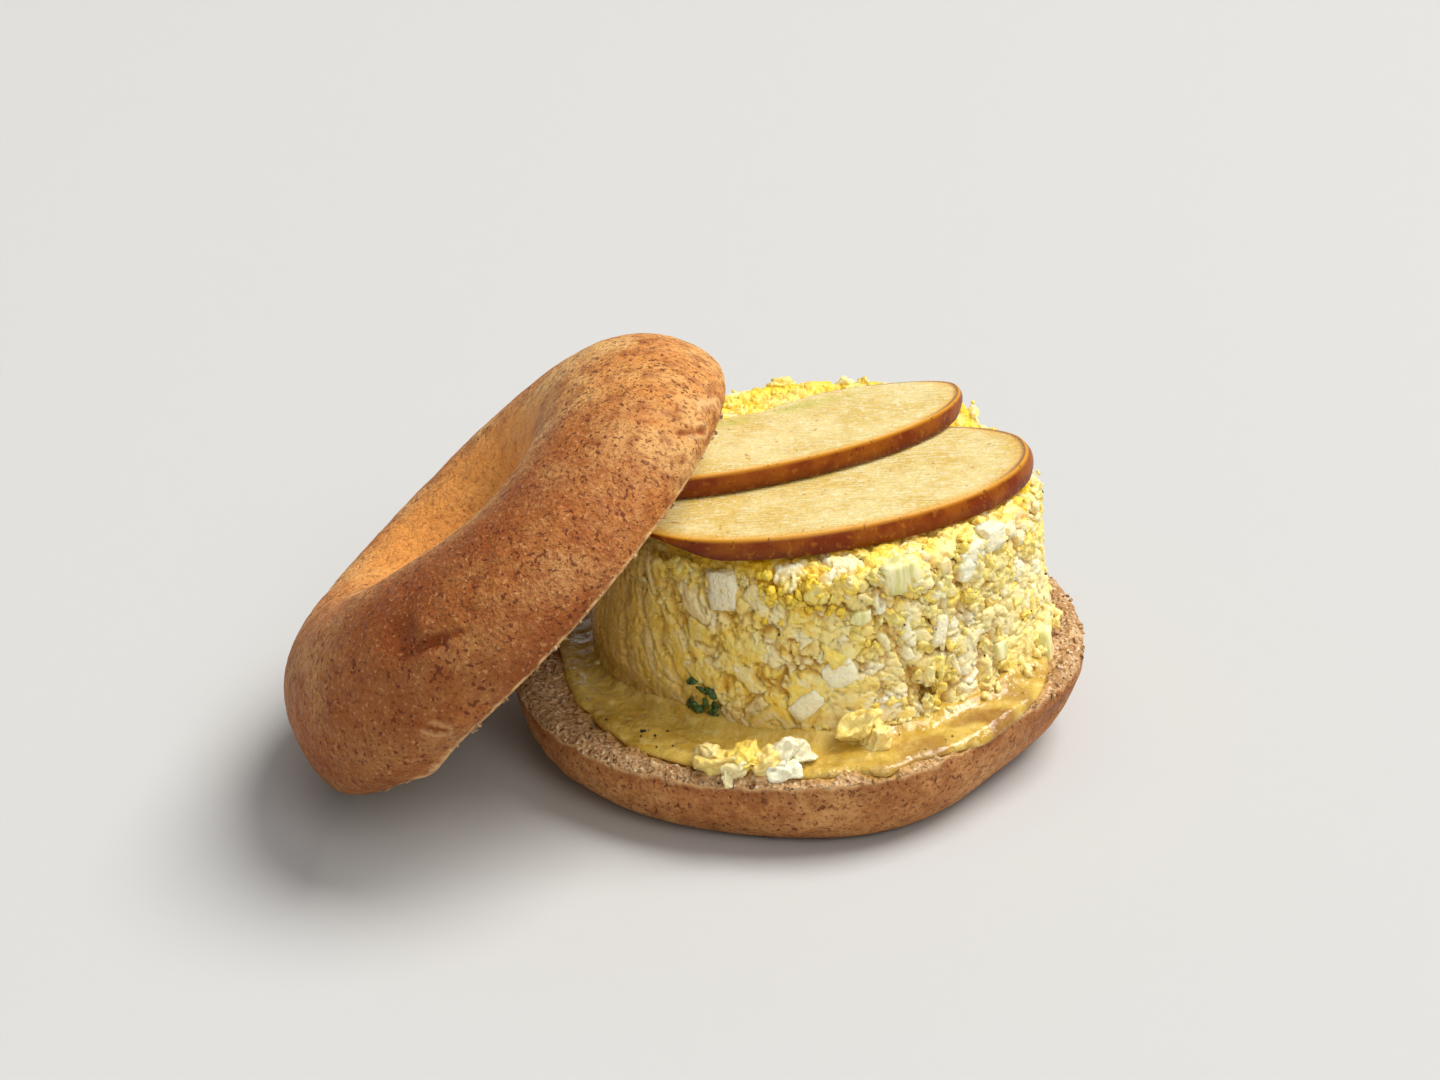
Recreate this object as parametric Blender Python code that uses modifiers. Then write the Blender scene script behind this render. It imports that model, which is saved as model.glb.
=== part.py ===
# An open bagel sandwich: the lower half lies on the table with dressing, a tall round of egg salad
# and two apple slices on it, and the upper half leans on its left side, cut face inwards.
import math
import random

import bmesh
import bpy
from mathutils import Matrix, Vector

MM = 0.001
GAP = 0.3 * MM                      # clearance between pieces that touch

# Lower half. Its cut face rises to the right and to the back, and its base is flat.
RIM_RADIUS = 54.4 * MM
RIM_HEIGHT = 16.1 * MM
RIM_SLOPE_X = 0.05
RIM_SLOPE_Y = 0.035
BASE_INSET = 9.0 * MM
LOWER_HOLE_RADIUS = 10.0 * MM
LOWER_HOLE_FLARE = 5.0 * MM

# Upper half, in its own frame: the cut face at height 0 and the crust above it.
LEAN_CENTRE = Vector((-46.8, -18.0, 34.5)) * MM
LEAN_NORMAL = Vector((0.7193, -0.0882, -0.6891)).normalized()
UPPER_RIM_RADIUS = 47.3 * MM
UPPER_MAX_RADIUS = 51.9 * MM
UPPER_HOLE_RADIUS = 10.0 * MM
UPPER_HEIGHT = 26.5 * MM
UPPER_BULGE_HEIGHT = 5.2 * MM
UPPER_NEAR_RIM_SPREAD = 3.4 * MM    # the near side runs straight down to the cut, without the tuck

# Dressing on the lower half's cut face, thicker and wider towards the front right.
DRESSING_THICKNESS = 1.6 * MM
DRESSING_RADIUS = 47.5 * MM
DRESSING_SHIFT = 4.5 * MM
DRESSING_SHIFT_ANGLE = math.radians(-60)
DRESSING_RIM_MARGIN = 0.9 * MM

# Round of egg salad.
EGG_CENTRE = Vector((3.8, 1.2, 0.0)) * MM
EGG_RADIUS = 40.5 * MM
EGG_TOP_HEIGHT = 50.2 * MM
EGG_TOP_SLOPE_Y = 0.02
EGG_EDGE_RADIUS = 5.0 * MM
EGG_FOOT_FLARE = 2.2 * MM
EGG_BACK_RISE = 3.7 * MM            # the heap stands higher behind the front slice
EGG_RISE_START = 2.0 * MM
EGG_RISE_WIDTH = 4.0 * MM
EGG_CHUNKS = 64
EGG_SEED = 11

# Apple slices, in mm and degrees: half the length, the depth in front of and behind the long axis,
# the turn about Z, the height of the underside, and how far the underside stands out from the top.
SLICE_THICKNESS = 3.9 * MM
CORE_NOTCH = 2.5 * MM
FRONT_SLICE = {
    "centre": (5.4, -11.2), "half_length": 39.9, "front": 20.6, "back": 16.0,
    "turn": 26.6, "height": 50.65, "lean": (1.2, -0.4),
}
BACK_SLICE = {
    "centre": (-4.3, 1.8), "half_length": 39.2, "front": 15.0, "back": 9.5,
    "turn": 30.0, "height": 55.0, "lean": (0.3, -0.3),
}

RING_STEPS = 56
HEAP_STEPS = 54


def clear_scene():
    for obj in list(bpy.data.objects):
        bpy.data.objects.remove(obj, do_unlink=True)


def new_collection(name):
    collection = bpy.data.collections.new(name)
    bpy.context.scene.collection.children.link(collection)
    return collection


def new_material(name, colour, roughness):
    material = bpy.data.materials.new(name)
    material.use_nodes = True
    shader = material.node_tree.nodes["Principled BSDF"]
    shader.inputs["Base Color"].default_value = (*colour, 1.0)
    shader.inputs["Roughness"].default_value = roughness
    shader.inputs["Metallic"].default_value = 0.0
    return material


def bump(angle, centre_deg, width_deg):
    """A smooth swelling of height 1 round the ring, centred on an angle."""
    away = math.degrees(angle) - centre_deg
    away = (away + 180.0) % 360.0 - 180.0
    return math.exp(-((away / width_deg) ** 2))


def smooth_step(value, start, end):
    w = min(1.0, max(0.0, (value - start) / (end - start)))
    return w * w * (3.0 - 2.0 * w)


def rim_radius(angle):
    """Outline of the lower half's cut face: a full front, and a pinch at the front right."""
    swell = 1.6 * bump(angle, -76, 18) - 2.4 * bump(angle, -41, 16) - 1.6 * bump(angle, 8, 25)
    return RIM_RADIUS + (swell + 0.6 * math.cos(3 * angle + 0.5)) * MM


def rim_plane(x, y):
    return RIM_HEIGHT + RIM_SLOPE_X * x + RIM_SLOPE_Y * y


def filling_base(x, y):
    """Underside of the egg salad: the dressing's top and a gap."""
    return rim_plane(x, y) + DRESSING_THICKNESS + 2 * GAP


def slice_axes(shape):
    turn = math.radians(shape["turn"])
    along = Vector((math.cos(turn), math.sin(turn)))
    across = Vector((-math.sin(turn), math.cos(turn)))
    return Vector(shape["centre"]) * MM, along, across


def egg_top(x, y):
    """Top of the egg salad: level under the front slice, higher behind it, lower at the left."""
    centre, along, across = slice_axes(FRONT_SLICE)
    behind = (Vector((x, y)) - centre).dot(across) - FRONT_SLICE["back"] * MM
    rise = EGG_BACK_RISE * smooth_step(behind, EGG_RISE_START, EGG_RISE_START + EGG_RISE_WIDTH)
    radius = math.hypot(x - EGG_CENTRE.x, y - EGG_CENTRE.y) / EGG_RADIUS
    angle = math.atan2(y - EGG_CENTRE.y, x - EGG_CENTRE.x)
    droop = (2.5 * bump(angle, -130, 35) + 4.0 * bump(angle, 130, 32)) * MM * radius ** 4
    return EGG_TOP_HEIGHT + EGG_TOP_SLOPE_Y * y + rise - droop


def egg_radius(angle, level):
    """Radius of the heap at a level from 0 at its foot to 1 at its top."""
    wave = 0.8 * math.cos(2 * angle + 0.6) + 0.7 * math.sin(3 * angle) + 0.5 * math.cos(5 * angle + 1.0)
    flare = EGG_FOOT_FLARE * (bump(angle, 0, 60) + 0.3) * (1.0 - level) ** 2
    return EGG_RADIUS + wave * MM + flare - 1.5 * MM * level * bump(angle, 80, 70)


def closed_profile(name, points):
    """An edge loop in the XZ plane, for a Screw modifier."""
    mesh = bpy.data.meshes.new(name)
    edges = [(i, (i + 1) % len(points)) for i in range(len(points))]
    mesh.from_pydata([(r, 0.0, z) for r, z in points], edges, [])
    return mesh


def open_profile(name, points):
    """An edge chain in the XZ plane that starts and ends on the axis."""
    mesh = bpy.data.meshes.new(name)
    edges = [(i, i + 1) for i in range(len(points) - 1)]
    mesh.from_pydata([(r, 0.0, z) for r, z in points], edges, [])
    return mesh


def turned_mesh(profile, steps):
    """The mesh that a profile sweeps in a full turn about Z."""
    obj = bpy.data.objects.new(profile.name, profile)
    bpy.context.scene.collection.objects.link(obj)
    screw = obj.modifiers.new("turn", "SCREW")
    screw.steps = steps
    screw.render_steps = steps
    screw.use_merge_vertices = True
    screw.merge_threshold = 0.00001
    mesh = bpy.data.meshes.new_from_object(obj.evaluated_get(bpy.context.evaluated_depsgraph_get()))
    bpy.data.objects.remove(obj, do_unlink=True)
    bpy.data.meshes.remove(profile)
    return mesh


def reshape(mesh, move):
    """Move every vertex by a rule that gives its new place."""
    for vertex in mesh.vertices:
        vertex.co = move(vertex.co.copy())
    mesh.update()


def place(name, mesh, material, collection):
    mesh.name = name
    mesh.materials.clear()
    mesh.materials.append(material)
    mesh.shade_smooth()
    mesh.set_sharp_from_angle(angle=math.radians(35))
    obj = bpy.data.objects.new(name, mesh)
    collection.objects.link(obj)
    return obj


def lower_profile():
    """Section of the lower half, from the rim down the crust, along the base and up the hole."""
    points = []
    for i in range(9):
        turn = math.pi / 2 * i / 8
        inset = BASE_INSET * (1 - math.cos(turn))
        points.append((RIM_RADIUS - inset, RIM_HEIGHT * (1 - math.sin(turn))))
    base_outer = RIM_RADIUS - BASE_INSET
    base_inner = LOWER_HOLE_RADIUS + LOWER_HOLE_FLARE
    for share in (0.25, 0.5, 0.75, 1.0):
        points.append((base_outer + (base_inner - base_outer) * share, 0.0))
    for i in range(1, 5):
        turn = math.pi / 2 * i / 4
        flare = LOWER_HOLE_FLARE * (1 - math.sin(turn))
        points.append((LOWER_HOLE_RADIUS + flare, 0.6 * RIM_HEIGHT * (1 - math.cos(turn))))
    points.append((LOWER_HOLE_RADIUS, RIM_HEIGHT))
    for share in (0.2, 0.4, 0.6, 0.8):
        points.append((LOWER_HOLE_RADIUS + (RIM_RADIUS - LOWER_HOLE_RADIUS) * share, RIM_HEIGHT))
    return points


def move_lower(point):
    angle = math.atan2(point.y, point.x)
    radius = math.hypot(point.x, point.y)
    outward = (radius - LOWER_HOLE_RADIUS) / (RIM_RADIUS - LOWER_HOLE_RADIUS)
    radius += (rim_radius(angle) - RIM_RADIUS) * outward
    depth = 1.0 - point.z / RIM_HEIGHT
    pinch = 3.5 * MM * bump(angle, -24, 24) * smooth_step(outward, 0.4, 0.8)
    radius -= pinch * smooth_step(depth, 0.1, 1.0)
    x = radius * math.cos(angle)
    y = radius * math.sin(angle)
    return Vector((x, y, point.z * rim_plane(x, y) / RIM_HEIGHT))


def make_lower_half(collection, material):
    mesh = turned_mesh(closed_profile("lower section", lower_profile()), RING_STEPS)
    reshape(mesh, move_lower)
    return place("bagel_bottom", mesh, material, collection)


def upper_profile():
    """Section of the upper half, from the crest down the outside, along the cut and up the hole."""
    middle = (UPPER_MAX_RADIUS + UPPER_HOLE_RADIUS) / 2
    half_width = (UPPER_MAX_RADIUS - UPPER_HOLE_RADIUS) / 2
    arch = UPPER_HEIGHT - UPPER_BULGE_HEIGHT
    points = []
    for i in range(10):
        turn = math.pi / 2 * (1 - i / 9)
        points.append((middle + half_width * math.cos(turn), UPPER_BULGE_HEIGHT + arch * math.sin(turn)))
    for share in (0.35, 0.7, 1.0):
        tuck = (UPPER_MAX_RADIUS - UPPER_RIM_RADIUS) * share ** 2
        points.append((UPPER_MAX_RADIUS - tuck, UPPER_BULGE_HEIGHT * (1 - share)))
    for share in (0.25, 0.5, 0.75, 1.0):
        points.append((UPPER_RIM_RADIUS + (UPPER_HOLE_RADIUS - UPPER_RIM_RADIUS) * share, 0.0))
    for i in range(8):
        turn = math.pi / 2 * i / 8
        points.append((middle - half_width * math.cos(turn), UPPER_BULGE_HEIGHT + arch * math.sin(turn)))
    return points


def move_upper(point):
    """Uneven outline and height; angle 0 points up along the lean, 180 degrees down to the table."""
    angle = math.atan2(point.y, point.x)
    radius = math.hypot(point.x, point.y)
    outward = (radius - UPPER_HOLE_RADIUS) / (UPPER_MAX_RADIUS - UPPER_HOLE_RADIUS)
    swell = 0.6 * math.cos(2 * angle) + 1.3 * math.sin(2 * angle) - 1.8 * bump(angle, -163, 26)
    radius += swell * MM * outward
    near_cut = max(0.0, 1.0 - point.z / UPPER_BULGE_HEIGHT)
    radius += UPPER_NEAR_RIM_SPREAD * bump(angle, -80, 45) * near_cut ** 2 * outward
    height = point.z * (1.0 - 0.07 * math.cos(angle - math.radians(40)) - 0.2 * bump(angle, -72, 55))
    return Vector((radius * math.cos(angle), radius * math.sin(angle), height))


def upper_frame():
    """Frame of the upper half: Z out of the crust, X up along the lean."""
    out = -LEAN_NORMAL
    uphill = Vector((0.675, 0.3235, 0.6632))
    uphill = (uphill - out * uphill.dot(out)).normalized()
    side = out.cross(uphill)
    frame = Matrix((uphill, side, out)).transposed().to_4x4()
    frame.translation = LEAN_CENTRE
    return frame


def make_upper_half(collection, material):
    mesh = turned_mesh(closed_profile("upper section", upper_profile()), RING_STEPS)
    reshape(mesh, move_upper)
    obj = place("bagel_top", mesh, material, collection)
    obj.matrix_world = upper_frame()
    bpy.context.view_layer.update()
    lowest = min((obj.matrix_world @ vertex.co).z for vertex in mesh.vertices)
    obj.location.z -= lowest
    return obj


def make_dressing(collection, material):
    rounding = DRESSING_THICKNESS / 2
    points = [(0.0, DRESSING_THICKNESS)]
    points += [(DRESSING_RADIUS * share, DRESSING_THICKNESS) for share in (0.35, 0.65, 0.9)]
    for i in range(5):
        turn = math.pi / 2 - math.pi * i / 4
        across = DRESSING_RADIUS - rounding + rounding * math.cos(turn)
        points.append((across, rounding + rounding * math.sin(turn)))
    points += [(DRESSING_RADIUS * share, 0.0) for share in (0.65, 0.35)]
    points.append((0.0, 0.0))
    mesh = turned_mesh(open_profile("dressing section", points), HEAP_STEPS)

    def spread(point):
        angle = math.atan2(point.y, point.x)
        share = math.hypot(point.x, point.y) / DRESSING_RADIUS
        edge = DRESSING_RADIUS + DRESSING_SHIFT * math.cos(angle - DRESSING_SHIFT_ANGLE)
        edge += (0.9 * math.cos(5 * angle) + 0.6 * math.sin(8 * angle + 1.0)) * MM
        edge = min(edge, rim_radius(angle) - DRESSING_RIM_MARGIN)
        x = edge * share * math.cos(angle)
        y = edge * share * math.sin(angle)
        return Vector((x, y, rim_plane(x, y) + GAP + point.z))

    reshape(mesh, spread)
    return place("dressing", mesh, material, collection)


def bread_cutter(collection):
    """Everything past the upper half's cut face: the bread presses the filling flat there."""
    size = 160 * MM
    bpy.ops.mesh.primitive_cube_add(size=size)
    cutter = bpy.context.object
    cutter.name = "bread side"
    cutter.matrix_world = upper_frame() @ Matrix.Translation((0, 0, size / 2 - GAP))
    cutter.hide_render = True
    cutter.display_type = "WIRE"
    for owner in list(cutter.users_collection):
        owner.objects.unlink(cutter)
    collection.objects.link(cutter)
    return cutter


def boolean(obj, operation, solid=None, group=None):
    """Apply a Boolean to an object, with one other solid or a whole collection."""
    modifier = obj.modifiers.new(operation.lower(), "BOOLEAN")
    modifier.operation = operation
    modifier.solver = "EXACT"
    if group is None:
        modifier.object = solid
    else:
        modifier.operand_type = "COLLECTION"
        modifier.collection = group
    evaluated = obj.evaluated_get(bpy.context.evaluated_depsgraph_get())
    mesh = bpy.data.meshes.new_from_object(evaluated)
    obj.modifiers.clear()
    old = obj.data
    obj.data = mesh
    bpy.data.meshes.remove(old)


def egg_profile():
    """Section of the heap with its height as a share from 0 to 1, down the outer side."""
    height = EGG_TOP_HEIGHT - filling_base(EGG_CENTRE.x, EGG_CENTRE.y)
    edge = EGG_EDGE_RADIUS / height
    points = [(0.0, 1.0)]
    points += [((EGG_RADIUS - EGG_EDGE_RADIUS) * share, 1.0) for share in (0.2, 0.4, 0.6, 0.8)]
    for i in range(5):
        turn = math.pi / 2 * (1 - i / 4)
        across = EGG_RADIUS - EGG_EDGE_RADIUS + EGG_EDGE_RADIUS * math.cos(turn)
        points.append((across, 1.0 - edge + edge * math.sin(turn)))
    points += [(EGG_RADIUS, share) for share in (0.6, 0.35, 0.15, 0.0)]
    points += [(EGG_RADIUS * 0.5, 0.0), (0.0, 0.0)]
    return points


def move_egg(point):
    angle = math.atan2(point.y, point.x)
    share = math.hypot(point.x, point.y) / EGG_RADIUS
    radius = egg_radius(angle, point.z) * share
    x = EGG_CENTRE.x + radius * math.cos(angle)
    y = EGG_CENTRE.y + radius * math.sin(angle)
    base = filling_base(x, y)
    return Vector((x, y, base + point.z * (egg_top(x, y) - base)))


def chunk(name, place_at, size, faces, turn, group):
    """A piece of the salad: a cut dice or a rounded lump."""
    mesh = bpy.data.meshes.new(name)
    shape = bmesh.new()
    if faces == 6:
        bmesh.ops.create_cube(shape, size=1.0)
    else:
        bmesh.ops.create_icosphere(shape, subdivisions=2, radius=0.5)
    scale = Matrix.Diagonal((*size, 1.0))
    bmesh.ops.transform(shape, matrix=Matrix.Translation(place_at) @ turn @ scale, verts=shape.verts)
    for vertex in shape.verts:
        vertex.co.z = max(vertex.co.z, filling_base(vertex.co.x, vertex.co.y))
    shape.to_mesh(mesh)
    shape.free()
    obj = bpy.data.objects.new(name, mesh)
    group.objects.link(obj)


def side_place(angle_deg, level, depth):
    """A point on the heap's side: an angle, a level from 0 to 1 and a depth below the surface."""
    angle = math.radians(angle_deg)
    radius = egg_radius(angle, level) - depth
    x = EGG_CENTRE.x + radius * math.cos(angle)
    y = EGG_CENTRE.y + radius * math.sin(angle)
    base = filling_base(x, y)
    return Vector((x, y, base + level * (egg_top(x, y) - base)))


def add_side_chunks(group):
    """Dice of egg white, onion and celery all round the side."""
    dice = random.Random(EGG_SEED)
    for i in range(EGG_CHUNKS):
        angle = 360.0 * (i + 0.7 * dice.random()) / EGG_CHUNKS
        level = 0.18 + 0.62 * ((i * 0.618) % 1.0)
        size = Vector((dice.uniform(4, 7), dice.uniform(3.5, 5.5), dice.uniform(3, 5.5))) * MM
        turn = Matrix.Rotation(dice.uniform(0, 6.28), 4, (dice.random(), dice.random(), 0.4))
        spot = side_place(angle, level, 1.2 * MM)
        if (spot - LEAN_CENTRE).dot(LEAN_NORMAL) < 6 * MM:
            continue
        chunk("chunk %02d" % i, spot, size, 6 if i % 3 else 20, turn, group)


def add_fallen_pieces(group):
    """The lump that slid down at the front, the smaller crumb beside it and one at the right."""
    flat = Matrix.Rotation(math.radians(8), 4, "Z")
    for name, spot, size in (
        ("fallen lump", (-12.0, -45.0, 17.5), (14.0, 16.0, 7.0)),
        ("fallen white", (-3.0, -46.0, 17.5), (10.0, 14.0, 5.0)),
        ("fallen crumb", (11.5, -40.0, 19.5), (8.0, 7.0, 7.0)),
        ("right crumb", (38.5, -16.0, 22.0), (9.0, 8.0, 7.0)),
    ):
        chunk(name, Vector(spot) * MM, Vector(size) * MM, 20, flat, group)


def make_egg_salad(collection, material, cutter):
    mesh = turned_mesh(open_profile("heap section", egg_profile()), HEAP_STEPS)
    reshape(mesh, move_egg)
    obj = place("egg_salad", mesh, material, collection)
    group = new_collection("salad pieces")
    add_side_chunks(group)
    add_fallen_pieces(group)
    bpy.context.view_layer.update()
    boolean(obj, "UNION", group=group)
    boolean(obj, "DIFFERENCE", solid=cutter)
    for piece in list(group.objects):
        bpy.data.objects.remove(piece, do_unlink=True)
    bpy.data.collections.remove(group)
    obj.data.materials.clear()
    obj.data.materials.append(material)
    return obj


def slice_outline(shape, angle):
    """Half of an apple's outline: a round peel side, a flat side with a notch where the core was, and
    a point at the right end."""
    c = math.cos(angle)
    s = math.sin(angle)
    point = smooth_step(c, 0.0, 0.8)
    if s < 0:
        return (
            shape["half_length"] * MM * math.copysign(abs(c) ** 0.95, c),
            -shape["front"] * MM * abs(s) ** (0.95 + 0.07 * point),
        )
    end = shape["half_length"] * MM * math.copysign(abs(c) ** (0.8 + 0.15 * point), c)
    notch = CORE_NOTCH * math.exp(-((end / (11 * MM)) ** 2)) * smooth_step(s, 0.5, 0.9)
    return end, shape["back"] * MM * s ** (0.65 + 0.5 * point) - notch


def make_slice(name, shape, collection, material, cutter):
    """Half of an apple slice: the peel on the round front, the cored cut straight along the back."""
    mesh = bpy.data.meshes.new(name)
    body = bmesh.new()
    bmesh.ops.create_cone(body, cap_ends=True, segments=44, radius1=1.0, radius2=1.0, depth=1.0)
    centre, along, across = slice_axes(shape)
    lean = Vector(shape["lean"]) * MM
    for vertex in body.verts:
        upper = vertex.co.z > 0
        end, side = slice_outline(shape, math.atan2(vertex.co.y, vertex.co.x))
        spot = centre + along * end + across * side
        if not upper:
            spot += lean
        level = shape["height"] * MM + EGG_TOP_SLOPE_Y * spot.y
        vertex.co = Vector((spot.x, spot.y, level + (SLICE_THICKNESS if upper else 0.0)))
    body.to_mesh(mesh)
    body.free()
    obj = place(name, mesh, material, collection)
    bpy.context.view_layer.update()
    boolean(obj, "DIFFERENCE", solid=cutter)
    return obj


def centre_on_origin(objects):
    """Put the middle of the whole sandwich's outline over the origin, with its lowest point at 0."""
    bpy.context.view_layer.update()
    low = Vector((math.inf,) * 3)
    high = Vector((-math.inf,) * 3)
    for obj in objects:
        for vertex in obj.data.vertices:
            point = obj.matrix_world @ vertex.co
            low = Vector(map(min, low, point))
            high = Vector(map(max, high, point))
    shift = Vector(((low.x + high.x) / 2, (low.y + high.y) / 2, low.z))
    for obj in objects:
        obj.location -= shift
    print("moved by", [round(value * 1000, 3) for value in shift], "mm")


def main():
    clear_scene()
    sandwich = new_collection("bagel sandwich")
    cutters = new_collection("cutters")
    crust = new_material("crust", (0.44, 0.22, 0.09), 0.75)
    salad = new_material("egg salad", (0.72, 0.58, 0.24), 0.45)
    sauce = new_material("dressing", (0.55, 0.35, 0.08), 0.2)
    apple = new_material("apple", (0.85, 0.66, 0.32), 0.35)
    cutter = bread_cutter(cutters)
    parts = [
        make_lower_half(sandwich, crust),
        make_upper_half(sandwich, crust),
        make_dressing(sandwich, sauce),
        make_egg_salad(sandwich, salad, cutter),
        make_slice("apple_front", FRONT_SLICE, sandwich, apple, cutter),
        make_slice("apple_back", BACK_SLICE, sandwich, apple, cutter),
    ]
    centre_on_origin(parts)


main()
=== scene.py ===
# The looks of an open bagel sandwich: leaning upper half, filled lower half, egg salad and apple.
import random
from math import cos, pi, radians, sin, sqrt

import bmesh
import bpy
import numpy as np
from mathutils import Euler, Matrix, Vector


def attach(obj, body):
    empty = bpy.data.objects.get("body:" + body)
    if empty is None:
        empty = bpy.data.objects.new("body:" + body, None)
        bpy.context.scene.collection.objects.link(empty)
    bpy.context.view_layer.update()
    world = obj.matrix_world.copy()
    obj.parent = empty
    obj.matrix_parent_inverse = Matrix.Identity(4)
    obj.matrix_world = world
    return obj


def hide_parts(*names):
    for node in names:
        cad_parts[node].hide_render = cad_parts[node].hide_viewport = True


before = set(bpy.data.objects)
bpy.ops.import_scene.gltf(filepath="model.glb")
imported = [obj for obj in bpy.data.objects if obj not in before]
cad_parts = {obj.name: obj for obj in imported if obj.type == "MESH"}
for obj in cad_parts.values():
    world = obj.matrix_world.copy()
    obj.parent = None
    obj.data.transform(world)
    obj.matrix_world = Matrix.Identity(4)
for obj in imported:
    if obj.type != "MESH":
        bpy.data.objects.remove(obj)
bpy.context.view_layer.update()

scene = bpy.context.scene
mm = 0.001
# Shapes are worked out in mm about the lower half's centre on the table, at this place in the frame.
lowerCentre = np.array((19.994, 7.448, 0))
gap = 0.3


# Small tools for shapes, all on arrays of points in mm.

def bump(angle, centre, width):
    away = (np.degrees(angle) - centre + 180) % 360 - 180
    return bell(away, width)


def bell(away, width):
    return np.exp(-(away / width) ** 2)


def ease(value, start, end):
    w = np.clip((value - start) / (end - start), 0, 1)
    return w * w * (3 - 2 * w)


def mix(first, second, share):
    return first + (second - first) * share


def unit(vectors):
    return vectors / np.maximum(np.linalg.norm(vectors, axis=-1, keepdims=True), 1e-9)


def fullTurn(count):
    # Angles all the way round, in one row.
    return np.linspace(0, 2 * pi, count, endpoint=False)[None, :]


def direction(angle):
    return np.array((cos(angle), sin(angle), 0))


def turned(*angles):
    return np.array(Euler(angles).to_matrix())


def polar(radius, angle, height):
    return np.stack(np.broadcast_arrays(radius * np.cos(angle), radius * np.sin(angle), height), -1)


def chance(cells, seed):
    # A random number from 0 to 1 for each whole-numbered cell, always the same one.
    x, y, z = np.moveaxis(cells.astype(np.int64), -1, 0)
    n = (x * 73856093 ^ y * 19349663 ^ z * 83492791 ^ (seed + 7) * 40503001) & 0xFFFFFFFF
    n = (n ^ (n >> 15)) * 2246822519 & 0xFFFFFFFF
    n = (n ^ (n >> 13)) * 3266489917 & 0xFFFFFFFF
    return ((n ^ (n >> 16)) & 0xFFFFFF) / 0xFFFFFF


def soft(points, size, seed=0):
    # Smooth noise from -1 to 1 with lumps of about the given size.
    p = points / size + 17.3 * (seed + 1)
    cell = np.floor(p)
    f = p - cell
    f = f * f * (3 - 2 * f)
    total = 0
    for corner in np.ndindex(2, 2, 2):
        share = np.prod(np.where(corner, f, 1 - f), axis=-1)
        total = total + share * chance(cell + corner, seed)
    return 2 * total - 1


def rough(points, size, seed=0, octaves=3):
    total = sum(soft(points, size / 2 ** k, seed + k) / 2 ** k for k in range(octaves))
    return total / (2 - 2 ** (1 - octaves))


def warped(points, size, amount, seed=0):
    shift = [soft(points, size, seed + axis) for axis in range(3)]
    return points + amount * np.stack(shift, -1)


def lumps(points, size, seed=0):
    # Distance to the middle of the nearest lump, room to the next lump, and the lump's cell.
    p = points / size
    cell = np.floor(p)
    nearest = np.full(p.shape[:-1], 9)
    second = nearest.copy()
    chosen = cell.copy()
    for step in np.ndindex(3, 3, 3):
        other = cell + step - 1
        spot = other + np.stack([chance(other, seed + axis) for axis in range(3)], -1)
        away = np.linalg.norm(p - spot, axis=-1)
        closer = away < nearest
        second = np.where(closer, nearest, np.minimum(second, away))
        nearest = np.where(closer, away, nearest)
        chosen = np.where(closer[..., None], other, chosen)
    return nearest, second - nearest, chosen


def ringNormals(rings, loop):
    across = np.roll(rings, -1, 1) - np.roll(rings, 1, 1)
    along = np.roll(rings, -1, 0) - np.roll(rings, 1, 0) if loop else np.gradient(rings, axis=0)
    return unit(np.cross(across, along))


def newMesh(name, points, faces):
    mesh = bpy.data.meshes.new(name)
    mesh.from_pydata(((points + lowerCentre) * mm).tolist(), [], faces)
    mesh.shade_smooth()
    return mesh


def ringMesh(name, rings, loop=False, slots=None):
    # A mesh over rows of rings. A loop joins the last row to the first, else a fan closes each end.
    rows, columns = rings.shape[:2]
    index = np.arange(rows * columns).reshape(rows, columns)
    upper, lower = (index, np.roll(index, -1, 0)) if loop else (index[:-1], index[1:])
    quads = np.stack([upper, lower, np.roll(lower, -1, 1), np.roll(upper, -1, 1)], -1).reshape(-1, 4)
    points = rings.reshape(-1, 3)
    corners = points[quads]
    across = np.cross(corners[:, 2] - corners[:, 0], corners[:, 3] - corners[:, 1])
    inward = (across * (corners.mean(axis=1) - points.mean(axis=0))).sum() < 0
    faces = quads.tolist()
    for ring in () if loop else (index[0], index[-1][::-1]):
        faces += [[len(points), int(a), int(b)] for a, b in zip(ring, np.roll(ring, -1))]
        points = np.vstack([points, points[ring].mean(axis=0)])
    mesh = newMesh(name, points, [face[::-1] for face in faces] if inward else faces)
    if slots is not None:
        mesh.polygons.foreach_set("material_index", np.repeat(slots, columns).tolist())
    return mesh


def paint(mesh, **layers):
    # Keeps numbers for each point of the mesh, for its materials to read.
    for name, values in layers.items():
        extra = len(mesh.vertices) - values.size
        flat = np.concatenate([values.ravel(), np.full(extra, values.ravel()[-1])])
        mesh.attributes.new(name, "FLOAT", "POINT").data.foreach_set("value", flat.astype(np.float32))


def newObject(name, data):
    thing = bpy.data.objects.new(name, data)
    scene.collection.objects.link(thing)
    return thing


def addPiece(name, mesh, materials, node=None):
    for material in materials:
        mesh.materials.append(material)
    piece = newObject(name, mesh)
    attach(piece, "root")
    if node:
        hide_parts(node)
    return piece


# Small tools for materials.

def colour(red, green, blue):
    # From the 0 to 255 values that a picture shows.
    return tuple(((v / 255 + 0.055) / 1.055) ** 2.4 for v in (red, green, blue)) + (1,)


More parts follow.
